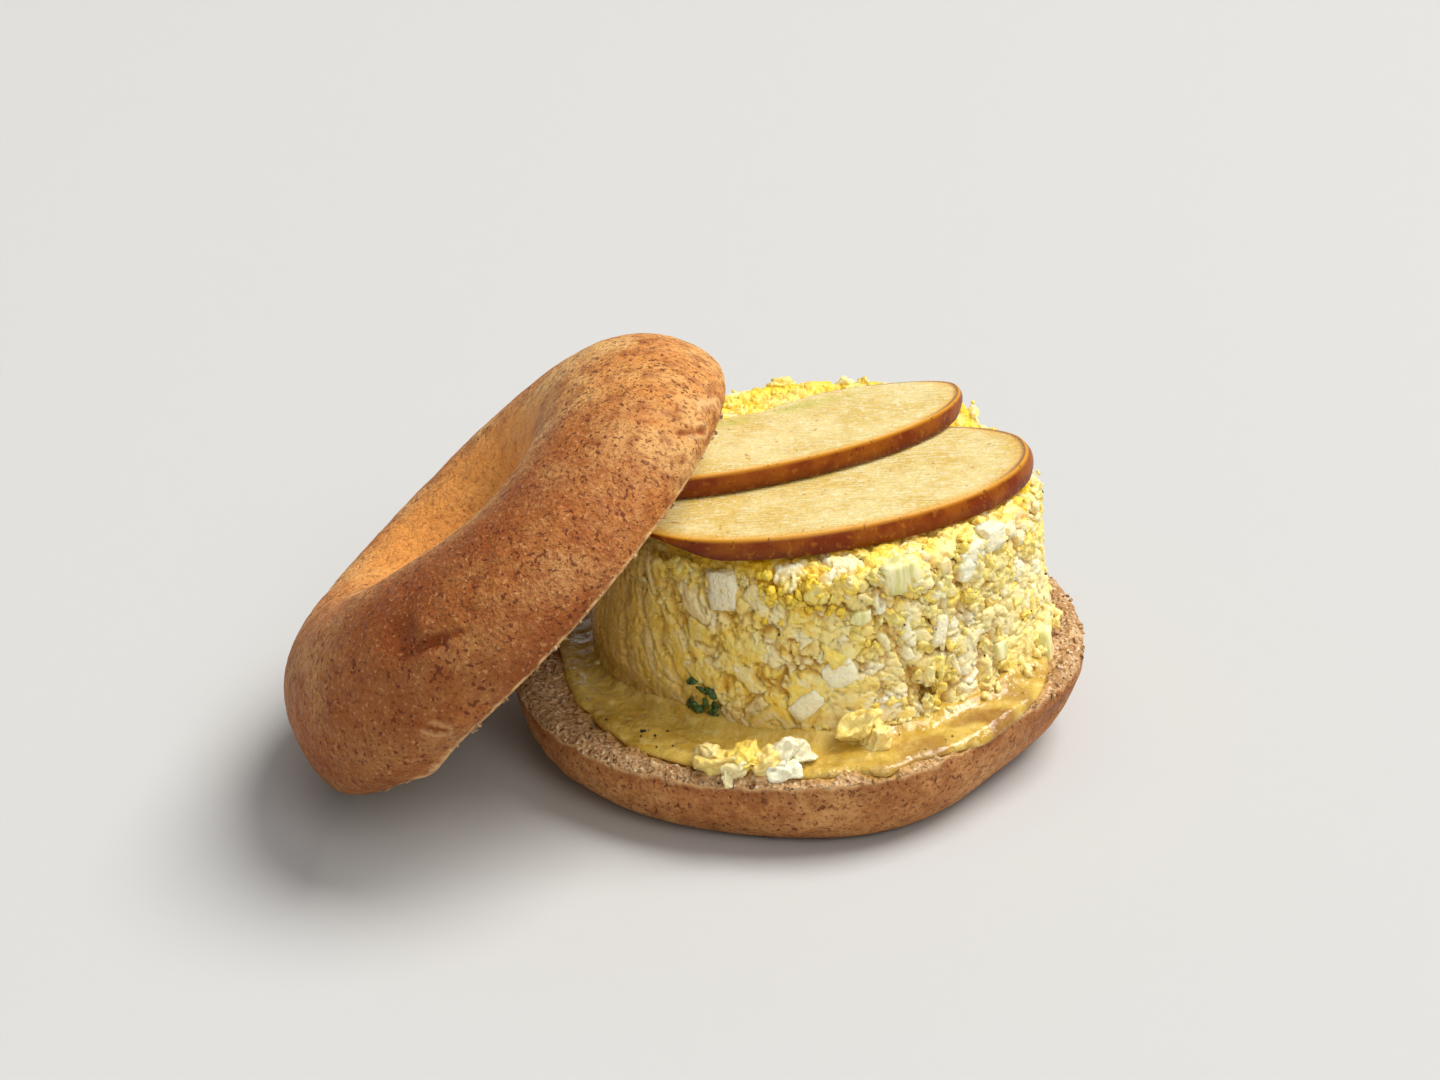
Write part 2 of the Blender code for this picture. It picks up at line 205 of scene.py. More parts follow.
class Recipe:
    # A material whose nodes are added one after the other.
    def __init__(self, name, roughness, specular=0.5):
        self.material = bpy.data.materials.new(name)
        self.material.use_nodes = True
        self.nodes = self.material.node_tree.nodes
        self.inputs = self.nodes["Principled BSDF"].inputs
        self.put(self.inputs, {"Roughness": roughness, "Specular IOR Level": specular})
        self.place = self.nodes.new("ShaderNodeTexCoord").outputs["Object"]
        self.bumps = None

    def put(self, sockets, values):
        for key, value in values.items():
            if isinstance(value, bpy.types.NodeSocket):
                self.material.node_tree.links.new(value, sockets[key])
            else:
                sockets[key].default_value = value

    def add(self, kind, result, values):
        node = self.nodes.new("ShaderNode" + kind)
        self.put(node.inputs, values)
        return node.outputs[result]

    def stretched(self, x, y, z, turn=0):
        values = {"Scale": (x, y, z), "Rotation": (0, 0, radians(turn)), "Vector": self.place}
        return self.add("Mapping", "Vector", values)

    def noise(self, size, detail=2, place=None):
        values = {"Scale": 1 / (size * mm), "Detail": detail, "Vector": place or self.place}
        return self.add("TexNoise", "Fac", values)

    def cells(self, size):
        return self.add("TexVoronoi", "Distance", {"Scale": 1 / (size * mm), "Vector": self.place})

    def painted(self, name, share=1):
        node = self.nodes.new("ShaderNodeAttribute")
        node.attribute_name = name
        return node.outputs["Fac"] if share == 1 else self.times(node.outputs["Fac"], share)

    def between(self, value, start, end, low=0, high=1):
        values = {"Value": value, "From Min": start, "From Max": end, "To Min": low, "To Max": high}
        result = self.add("MapRange", "Result", values)
        result.node.interpolation_type = "SMOOTHSTEP"
        return result

    def patches(self, size, detail, start, end, high=1, low=0):
        return self.between(self.noise(size, detail), start, end, low, high)

    def times(self, first, second):
        result = self.add("Math", "Value", {0: first, 1: second})
        result.node.operation = "MULTIPLY"
        return result

    def blend(self, first, second, share):
        node = self.nodes.new("ShaderNodeMix")
        node.data_type = "RGBA"
        self.put(node.inputs, {0: share, 6: first, 7: second})
        return node.outputs[2]

    def base(self, first, second, share):
        self.tint = self.blend(colour(*first), colour(*second), share)

    def lay(self, rgb, share):
        # Lays a colour over the ones before, by its share at each spot.
        self.tint = self.blend(self.tint, colour(*rgb), share)

    def relief(self, height, depth):
        values = {"Strength": 1, "Distance": depth * mm, "Height": height}
        if self.bumps:
            values["Normal"] = self.bumps
        self.bumps = self.add("Bump", "Normal", values)
        self.put(self.inputs, {"Normal": self.bumps})

    def glow(self, weight, radius, scale):
        # Light that scatters under the surface.
        values = {"Subsurface Weight": weight, "Subsurface Radius": radius, "Subsurface Scale": scale * mm}
        self.put(self.inputs, values)

    def coat(self, weight, roughness):
        self.put(self.inputs, {"Coat Weight": weight, "Coat Roughness": roughness})

    def finish(self, rough=None):
        self.put(self.inputs, {"Base Color": self.tint})
        if rough is not None:
            self.put(self.inputs, {"Roughness": rough})
        return self.material


# Pale and brown crust, the dark colour for patches and for painted shade, bran flecks and pale specks.
crustColours = {
    "upper": ((228, 178, 108), (206, 136, 66), (138, 68, 22), (98, 38, 12), (236, 184, 122)),
    "lower": ((212, 154, 92), (186, 122, 66), (146, 82, 36), (106, 46, 20), (226, 178, 124)),
}


def crustMaterial(name, pale, brown, dark, fleck, paleSpeck):
    m = Recipe(name, 0.7, 0.25)
    m.base(pale, brown, m.patches(14, 4, 0.36, 0.62))
    # Darker bake tone, and painted shade on the upper half's near slope.
    m.lay(dark, m.painted("baked"))
    # Painted light: the far wall of the hole, which faces the lamp, is laid lighter and golden, with fewer
    # dark patches.
    m.lay((232, 154, 72), m.painted("golden"))
    plain = m.between(m.painted("golden"), 0, 0.7, 1, 0.35)
    m.lay(dark, m.times(plain, m.patches(3, 4, 0.46, 0.68, 0.6)))
    # The same grain makes the fine relief: its colour is partly the crust's own mottling and partly painted
    # shade in the pits and painted highlight on the rises.
    grain = m.noise(0.75, 3)
    m.lay(dark, m.times(plain, m.between(grain, 0.5, 0.34, 0, 0.65)))
    m.lay(paleSpeck, m.between(grain, 0.57, 0.72, 0, 0.35))
    patchy = m.times(plain, m.patches(6, 2, 0.34, 0.52, 1, 0.35))
    bran = m.patches(0.95, 1.5, 0.61, 0.66)
    m.lay(fleck, m.times(bran, m.times(patchy, 0.8)))
    dots = m.between(m.cells(1.15), 0.2, 0.12)
    m.lay(fleck, m.times(dots, m.times(patchy, 0.6)))
    flour = m.times(m.between(m.cells(1.9), 0.17, 0.07), m.patches(2.4, 2, 0.52, 0.66))
    m.lay(paleSpeck, m.times(flour, 0.4))
    m.lay((230, 184, 126), m.painted("edge"))
    m.relief(m.noise(3.2, 4), 0.7)
    m.relief(grain, 0.42)
    m.relief(m.noise(0.4, 2), 0.14)
    m.relief(bran, 0.12)
    m.relief(flour, 0.16)
    return m.finish(m.patches(2, 2, 0.3, 0.7, 0.8, 0.55))


def crumbMaterial():
    m = Recipe("bread crumb", 0.85, 0.2)
    m.base((206, 168, 122), (178, 134, 88), m.patches(3.5, 3, 0.38, 0.62))
    # Painted shade in the pores: darker in the pits that the same cells dent.
    m.lay((122, 80, 46), m.between(m.cells(1), 0.32, 0.12, 0, 0.75))
    m.lay((240, 216, 180), m.patches(0.8, 3, 0.54, 0.66, 0.8))
    m.lay((112, 62, 30), m.patches(1.2, 1, 0.65, 0.7, 0.85))
    m.lay((196, 148, 70), m.painted("soaked"))
    m.relief(m.cells(1), 0.7)
    m.relief(m.noise(0.8, 4), 0.6)
    m.glow(0.1, (1, 0.6, 0.35), 0.8)
    return m.finish()


# Lower half: the crust, the flat base, the hole and the torn cut face.

lowerHalf = {
    "rim": 54.4, "rimHeight": 16.1, "slopeX": 0.05, "slopeY": 0.035, "baseInset": 9,
    "hole": 10, "holeFlare": 5, "columns": 560,
    "crustWaves": 0.4, "ragged": 0.7, "poreSize": 2.1, "poreDepth": 1.1, "torn": 1,
}


def rimRadius(angle):
    swell = 1.6 * bump(angle, -76, 18) - 2.4 * bump(angle, -41, 16) - 1.6 * bump(angle, 8, 25)
    return lowerHalf["rim"] + swell + 0.6 * np.cos(3 * angle + 0.5)


def rimPlane(x, y):
    return lowerHalf["rimHeight"] + lowerHalf["slopeX"] * x + lowerHalf["slopeY"] * y


def withCut(rows, rim, hole, height, count, spread):
    # Adds the cut face. Gives radius, height and side of the cut, for rows from the rim round and back.
    crustRows = sum(len(r) for r, _ in rows)
    radius = mix(hole, rim, np.linspace(0, 1, count)[1:-1] ** spread)
    r, z = (np.concatenate(part) for part in zip(*rows, (radius, 0 * radius + height)))
    return r[:, None], z[:, None], (np.arange(len(r)) >= crustRows - 1)[:, None]


def lowerSection():
    v = lowerHalf
    rim, hole, tall = v["rim"], v["hole"], v["rimHeight"]
    side = np.linspace(0, pi / 2, 64)
    base = np.linspace(rim - v["baseInset"], hole + v["holeFlare"], 40)[1:]
    flare = np.linspace(0, pi / 2, 14)[1:]
    wall = np.linspace(0.6, 1, 10)[1:] * tall
    rows = [(rim - v["baseInset"] * (1 - np.cos(side)), tall * (1 - np.sin(side))), (base, 0 * base),
            (hole + v["holeFlare"] * (1 - np.sin(flare)), 0.6 * tall * (1 - np.cos(flare))),
            (0 * wall + hole, wall)]
    return withCut(rows, rim, hole, tall, 78, 0.75)


def pores(points, size, seed, wander, inner, bare):
    away, _, cell = lumps(warped(points, 2.5, wander, seed), size, seed + 11)
    return ease(away, 0.55, inner) * (chance(cell, seed + 24) > bare)


def makeLowerHalf(crust, crumb):
    v = lowerHalf
    r, z, cut = lowerSection()
    angle = fullTurn(v["columns"])
    outward = (r - v["hole"]) / (v["rim"] - v["hole"])
    depth = 1 - z / v["rimHeight"]
    fromRim = np.where(cut, v["rim"] - r, depth * v["rimHeight"] + 9 * (outward < 0.4))
    wide = r + (rimRadius(angle) - v["rim"]) * outward
    wide = wide - 3.5 * bump(angle, -24, 24) * ease(outward, 0.4, 0.8) * ease(depth, 0.1, 1)
    rings = polar(wide, angle, 0)
    rings[..., 2] = z * rimPlane(rings[..., 0], rings[..., 1]) / v["rimHeight"]
    normals = ringNormals(rings, True)

    # The crust: soft waves, and a lump with a fold under it at the right, where the rim was torn.
    onCrust = ~cut * ease(fromRim, 0, 3) * ease(rings[..., 2], 0.1, 3)
    waves = v["crustWaves"] * rough(rings, 13, 3) + 0.14 * rough(rings, 3.4, 7)
    fold = ease(depth, 0.08, 0.3) * ease(depth, 0.62, 0.4) * bump(angle, -25, 9)
    relief = onCrust * (waves + 1.1 * fold)

    # The cut face: torn crumb with pores, lowest just inside the crust.
    torn = rough(rings, 5.5, 50) * v["torn"] + rough(rings, 1.3, 54) * 0.35
    sunk = 0.7 * bell(fromRim - 2.4, 1.6)
    torn = torn - v["poreDepth"] * pores(rings, v["poreSize"], 20, 0.7, 0.12, 0.35) - sunk - 0.25
    relief = relief + cut * ease(fromRim, 0, 1.2) * torn

    rings = rings + normals * relief[..., None]
    edge = polar(v["rim"], angle, 0)
    ragged = v["ragged"] * (rough(edge, 4.5, 60) + 0.6 * soft(edge, 1.3, 61))
    ragged = ragged * (1 - 0.8 * bump(angle, -74, 9))
    nearRim = bell(fromRim, 1.3) * ease(outward, 0.6, 0.9)
    rings[..., 2] += nearRim * ragged
    rings[..., :2] -= unit(rings[..., :2]) * (0.5 * nearRim * np.abs(ragged))[..., None]
    rings[..., 2] = np.maximum(rings[..., 2], 0)

    mesh = ringMesh("lower half", rings, True, cut[:, 0].astype(int))
    # Darker near the rim top, over the torn lump and at random.
    baked = 0.45 * ease(fromRim, 5, 0.5) + 0.3 * rough(rings, 9, 70) + 0.5 * fold
    pale = 0.7 * ease(fromRim + 0.5 * soft(rings, 1.5, 74), 1.1, 0.2)
    nearSauce = ease(wide, dressingEdge(angle) + 1.8, dressingEdge(angle) - 0.5)
    paint(mesh, baked=np.clip(baked, 0, 1) * ~cut, edge=pale * ~cut,
          soaked=np.clip(nearSauce * (0.7 + rough(rings, 2, 80)), 0, 1))
    return addPiece("lowerHalf", mesh, (crust, crumb), "bagel_bottom")


# Upper half, in its own frame: the cut face at height 0, angle 0 up along the lean.

upperHalf = {
    "centre": (-46.8, -18, 34.3), "normal": (0.7193, -0.0882, -0.6891), "uphill": (0.675, 0.3235, 0.6632),
    "rim": 47.3, "widest": 51.9, "hole": 10, "height": 26.5, "bulge": 5.2,
    "nearRimSpread": 3.4, "columns": 640, "waves": 0.4, "ragged": 0.7, "poreSize": 2.3, "poreDepth": 0.9,
}


def upperAxes():
    out = -np.array(upperHalf["normal"]) / np.linalg.norm(upperHalf["normal"])
    uphill = np.array(upperHalf["uphill"])
    uphill = unit(uphill - out * uphill.dot(out))
    return uphill, np.cross(out, uphill), out


def fromUpper(points):
    return points @ np.stack(upperAxes()) + np.array(upperHalf["centre"])


def upperSection():
    v = upperHalf
    rim, widest, hole, bulge = (v[key] for key in ("rim", "widest", "hole", "bulge"))
    tuck = np.linspace(1, 0, 14)
    turn = np.linspace(0, pi, 138)[1:]
    arch = np.where(turn < pi / 2, bulge + (v["height"] - bulge) * np.sin(turn), v["height"] * np.sin(turn))
    rows = [(widest - (widest - rim) * tuck ** 2, bulge * (1 - tuck)),
            ((widest + hole) / 2 + (widest - hole) / 2 * np.cos(turn), arch)]
    return withCut(rows, rim, hole, 0, 64, 0.8)


def upperSwell(angle):
    return 0.6 * np.cos(2 * angle) + 1.3 * np.sin(2 * angle) - 1.8 * bump(angle, -163, 26)


def upperPoint(degrees, radius, height):
    a = radians(degrees)
    return np.array((radius * cos(a), radius * sin(a), height))


def segmentDistance(points, start, end):
    # Distance from a line between two points, and how far along it, from 0 to 1.
    along = end - start
    t = np.clip((points - start) @ along / along.dot(along), 0, 1)
    return np.linalg.norm(points - start - t[..., None] * along, axis=-1), t


# Marks on the upper crust: where each crack starts and ends, its depth and width, and how pale its lip is.
crustCracks = (
    ((-38, 50.4, 10), (-24, 50, 3), 0.6, 0.55, 0.6), ((-43, 50.6, 7.6), (-35, 50.6, 2.6), 0.5, 0.5, 0.6),
    ((-124, 51.9, 9.5), (-119, 52.5, 3.6), 0.6, 0.45, 0.4),
    ((-118, 47.9, 18.4), (-107, 49.4, 14.6), 1.1, 0.75, 0),
    ((-113, 48.2, 17.6), (-103, 49.9, 13.4), 0.35, 0.5, 0),
)
# Where each blister or dent is, its height and its width.
crustBlisters = (
    ((-87, 45.5, 17), 0.5, 1.3), ((-73, 47.1, 14.2), 0.5, 1.2), ((-99, 48.5, 14.7), -0.5, 1.4),
    ((-115, 45.8, 20.2), -1.6, 3.6), ((-109, 46.8, 19), 0.9, 2.2), ((-112, 49.6, 14.2), 0.5, 2.4),
    ((-95, 46.5, 17.2), -0.3, 1),
)


def crustMarks(rings):
    # Relief of the cracks and blisters, the painted shade they put in the crack lines and dents, and how pale
    # the crack lips make the crust.
    relief, dark, pale = 0, 0, 0
    for start, end, deep, wide, paleness in crustCracks:
        away, t = segmentDistance(rings, upperPoint(*start), upperPoint(*end))
        away = away + 0.35 * soft(rings, 1.6, 180)
        line = bell(away, wide) * ease(t, 0, 0.25)
        lip = bell(away - 1.2, 0.4) * ease(rings[..., 2], 0, 1) * ease(t, 0.1, 0.4)
        lip = lip * (rings[..., 2] < 0.5 * (start[2] + end[2])) * (paleness > 0)
        relief = relief + deep * (0.22 * lip - line)
        # Painted shade along the crack.
        dark = dark + 0.8 * line
        pale = pale + paleness * lip
    for spot, tall, wide in crustBlisters:
        mound = bell(np.linalg.norm(rings - upperPoint(*spot), axis=-1), wide)
        relief = relief + tall * mound
        # Painted shade in the dents.
        dark = dark + 0.25 * mound * (tall < 0)
    return relief, dark, pale


def makeUpperHalf(crust, crumb):
    v = upperHalf
    r, z, cut = upperSection()
    angle = fullTurn(v["columns"])
    outward = (r - v["hole"]) / (v["widest"] - v["hole"])
    nearCut = np.maximum(0, 1 - z / v["bulge"])
    spread = v["nearRimSpread"] * bump(angle, -80, 45) * nearCut ** 2
    wide = r + upperSwell(angle) * outward + spread * outward
    lowered = 1 - 0.07 * np.cos(angle - radians(40)) - 0.2 * bump(angle, -72, 55)
    rings = polar(wide, angle, z * lowered)
    normals = ringNormals(rings, True)
    rowStep = np.hypot(np.diff(r[:, 0], prepend=r[0, 0]), np.diff(z[:, 0], prepend=z[0, 0]))
    fromRim = np.where(cut, v["rim"] - r, np.cumsum(rowStep)[:, None]) + 0 * angle

    waves = v["waves"] * rough(rings, 17, 103) + 0.16 * rough(rings, 4.2, 107) + 0.05 * rough(rings, 1.3, 110)
    marks, markDark, markPale = crustMarks(rings)
    relief = ~cut * ease(fromRim, 0, 2.5) * (waves + marks)

    torn = rough(rings, 6, 150) * 0.5 + rough(rings, 1.4, 154) * 0.3
    torn = torn - v["poreDepth"] * pores(rings, v["poreSize"], 120, 0.8, 0.1, 0.3) - 0.45
    relief = relief + cut * ease(fromRim, 0, 1.2) * np.minimum(torn, 0.05)

    rings = rings + normals * relief[..., None]
    edge = polar(v["rim"], angle, 0)
    ragged = v["ragged"] * (rough(edge, 5, 160) + 0.8 * rough(edge, 1.6, 164, 2))
    nearRim = bell(fromRim, 1.4) * ease(outward, 0.6, 0.85)
    rings[..., :2] += unit(rings[..., :2]) * (nearRim * ragged)[..., None]
    rings[..., 2] += nearRim * (np.maximum(0.35 * ragged, -0.2) - 1.5 * bump(angle, -133, 8))

    placed = fromUpper(rings)
    placed[..., 2] = np.maximum(placed[..., 2], 0)
    mesh = ringMesh("upper half", placed, True, cut[:, 0].astype(int))
    # Painted shade on the lower-left near slope, which faces away from the light, together with a darker bake
    # there.
    towards = ease(np.cos(angle + radians(120)), -0.5, 1)
    baked = 0.8 * towards * ease(outward, 0.3, 0.7) + 0.35 * rough(rings, 15, 170)
    # Painted light on the far wall of the hole, with less of the painted shade there.
    inHole = ease(outward, 0.5, 0.25) * ease(np.cos(angle - radians(80)), -0.35, 0.5)
    pale = 0.95 * ease(fromRim + 0.6 * soft(rings, 1.6, 174), 1.3, 0.3) + markPale
    paint(mesh, baked=np.clip(baked - 0.4 * inHole + markDark, 0, 1) * ~cut, golden=0.75 * inHole * ~cut,
          edge=np.clip(pale, 0, 1) * ~cut)
    return addPiece("upperHalf", mesh, (crust, crumb), "bagel_top")


# Dressing on the cut face, wet, wider at the front right where it runs over the rim.

dressing = {
    "thickness": 1.6, "columns": 420, "ripple": 0.55, "rounding": 1.7,
    # Reach of the edge from the middle at each angle: it meets the rim at the front right.
    "reach": {-180: 45.5, -163: 45, -147: 46.6, -133: 48.6, -123: 49.6, -112: 50.6, -100: 52.2, -88: 52.9,
              -79: 53.6, -74: 55.3, -69: 54, -64: 53.2, -58: 53.2, -52: 53.2, -41: 52.3, -33: 51.8,
              -24: 49.4, -10: 46.8, 10: 47.5, 30: 46, 52: 47.8, 75: 46.2, 98: 47.6, 120: 45.2, 145: 46.8},
}


def dressingEdge(angle):
    places = sorted(dressing["reach"])
    fine = np.radians(np.arange(-180, 180, 1))
    reach = np.interp(np.degrees(fine), places, [dressing["reach"][p] for p in places], period=360)
    smoothing = np.array((1, 2, 3, 2, 1)) / 9
    reach = np.convolve(np.concatenate([reach[-2:], reach, reach[:2]]), smoothing, "valid")
    reach = reach + 0.3 * np.sin(23 * fine + 2 * np.sin(5 * fine))
    reach = reach + 0.3 * np.sin(11 * fine + np.sin(7 * fine))
    return np.interp(angle, fine, reach, period=2 * pi)


def dressingTop(x, y):
    return rimPlane(x, y) + gap + dressing["thickness"]


def makeDressing(sauce):
    v = dressing
    angle = fullTurn(v["columns"])
    share = np.concatenate([np.linspace(0.02, 0.66, 10), np.linspace(0.66, 0.955, 62)[1:]])
    turn = np.linspace(pi / 2, -pi / 2, 16)
    edge = dressingEdge(angle)
    inner = edge - v["rounding"]
    rimRows, under = v["rounding"] * np.cos(turn)[:, None], np.array((0.9, 0.6, 0.02))[:, None]
    radius = np.concatenate([share[:, None] * inner / 0.955, inner + rimRows, under * inner])
    flat = polar(radius, angle, 0)
    x, y = flat[..., 0], flat[..., 1]
    ripple = v["ripple"] * rough(flat, 6.5, 203) + 0.3 * rough(flat, 2.4, 205)
    # It climbs the foot of the egg salad, most at the left.
    heapAngle, out = aboutHeap(x, y)
    out = out - eggRadius(heapAngle, 0)
    climb = 1.5 + 0.8 * bump(heapAngle, -135, 25) + 0.8 * soft(flat, 5, 207)
    thick = v["thickness"] + ripple + climb * bell(np.maximum(out, 0), 1.7)
    lift = np.concatenate([np.ones(len(share)), 0.5 + 0.5 * np.sin(turn), np.zeros(3)])[:, None]
    sag = ease(radius, rimRadius(angle) - 1.2, rimRadius(angle) + 0.6) * 1.2
    z = rimPlane(x, y) + 0.05 + lift * thick - sag
    mesh = ringMesh("dressing", np.stack([x, y, z], -1))
    thin = ease(radius, edge - 10, edge - 4) * bump(angle, -50, 26)
    paint(mesh, thin=thin * ease(soft(flat, 4, 209), -0.6, 0.3))
    return addPiece("dressingLayer", mesh, (sauce,), "dressing")


def sauceMaterial():
    m = Recipe("dressing", 0.16, 0.5)
    m.base((212, 181, 86), (190, 152, 56), m.patches(7, 3, 0.35, 0.65))
    m.lay((236, 212, 130), m.patches(2.2, 3, 0.5, 0.7, 0.6))
    m.lay((150, 104, 42), m.painted("thin", 0.95))
    m.lay((120, 76, 34), m.patches(1.1, 1, 0.7, 0.74, 0.6))
    m.relief(m.noise(2.6, 3), 0.9)
    m.glow(0.35, (1, 0.7, 0.25), 2)
    m.coat(0.22, 0.07)
    return m.finish(m.patches(3.2, 2, 0.42, 0.56, 0.36, 0.08))


# Egg salad: a moulded round whose surface is pressed lumps, with loose pieces set into it.

eggSalad = {
    "x": 3.8, "y": 1.2, "radius": 40.5, "topHeight": 50.2, "topSlopeY": 0.02, "edgeRadius": 5,
    "footFlare": 2.2, "backRise": 3.7, "riseStart": 2, "riseWidth": 4, "columns": 820,
}
frontSlice = {"centre": (5.4, -11.2), "halfLength": 39.9, "front": 20.6, "back": 16, "turn": 26.6,
              "height": 50.65, "lean": (1.2, -0.4)}
backSlice = {"centre": (-4.3, 1.8), "halfLength": 39.2, "front": 15, "back": 9.5, "turn": 30,
             "height": 55, "lean": (0.3, -0.3)}


def sliceAxes(shape):
    turn = radians(shape["turn"])
    return np.array((cos(turn), sin(turn))), np.array((-sin(turn), cos(turn)))


def aboutHeap(x, y):
    # Angle and distance from the heap's middle.
    x, y = x - eggSalad["x"], y - eggSalad["y"]
    return np.arctan2(y, x), np.hypot(x, y)


def inSlice(shape, x, y):
    # How far a point is along a slice and across it.
    along, across = sliceAxes(shape)
    dx, dy = x - shape["centre"][0], y - shape["centre"][1]
    return dx * along[0] + dy * along[1], dx * across[0] + dy * across[1]


def eggTop(x, y):
    v = eggSalad
    _, behind = inSlice(frontSlice, x, y)
    start = frontSlice["back"] + v["riseStart"]
    rise = v["backRise"] * ease(behind, start, start + v["riseWidth"])
    angle, away = aboutHeap(x, y)
    droop = (2.5 * bump(angle, -130, 35) + 4 * bump(angle, 130, 32)) * (away / v["radius"]) ** 4
    return v["topHeight"] + v["topSlopeY"] * y + rise - droop


def eggRadius(angle, level):
    v = eggSalad
    wave = 0.8 * np.cos(2 * angle + 0.6) + 0.7 * np.sin(3 * angle) + 0.5 * np.cos(5 * angle + 1)
    flare = v["footFlare"] * (bump(angle, 0, 60) + 0.3) * (1 - level) ** 2
    return v["radius"] + wave + flare - 1.5 * level * bump(angle, 80, 70)


def fillingBase(x, y):
    return rimPlane(x, y) + dressing["thickness"] + 2 * gap


def pressed(points, clearance):
    # Keeps points on the filling's side of the leaning bread.
    normal = -upperAxes()[2]
    short = np.maximum(clearance - (points - upperHalf["centre"]) @ normal, 0)
    return points + short[..., None] * normal


def heapPoint(angle, level, radiusShare=1):
    v = eggSalad
    radius = eggRadius(angle, level) * radiusShare
    x, y = v["x"] + radius * np.cos(angle), v["y"] + radius * np.sin(angle)
    base = fillingBase(x, y)
    return np.stack(np.broadcast_arrays(x, y, base + level * (eggTop(x, y) - base)), -1)


def heapRings():
    v = eggSalad
    corner = v["edgeRadius"] / (v["topHeight"] - fillingBase(v["x"], v["y"]))
    inner = 1 - v["edgeRadius"] / v["radius"]
    wall = np.linspace(0, 1 - corner, 92)
    turn = np.linspace(0, pi / 2, 24)[1:]
    top = np.concatenate([np.linspace(inner, 0.34, 62)[1:], np.linspace(0.34, 0.01, 9)[1:]])
    level = np.concatenate([np.zeros(3), wall, 1 - corner + corner * np.sin(turn), 0 * top + 1])[:, None]
    share = np.concatenate([(0.3, 0.7, 0.95), 0 * wall + 1, inner + (1 - inner) * np.cos(turn), top])[:, None]
    angle = fullTurn(v["columns"])
    return heapPoint(angle, level, share), angle + 0 * level, level + 0 * angle, share + 0 * angle


# Dips in the heap: angle in degrees, level, depth and width in mm.
heapDips = (
    (-61, 0.17, 2.8, 3), (-65, 0.25, 1.6, 2), (-57, 0.1, 1.5, 2), (-92, 0.4, 1.3, 1.2),
    (-95, 0.2, 0.9, 1.2), (-76, 0.88, 1.2, 1.3), (-108, 0.16, 0.8, 1.4), (-25, 0.9, 1.6, 2),
    (30, 0.5, 1.8, 2.4), (95, 0.3, 2.2, 2.6), (150, 0.6, 1.8, 2.2), (60, 0.75, 1.4, 1.8),
)


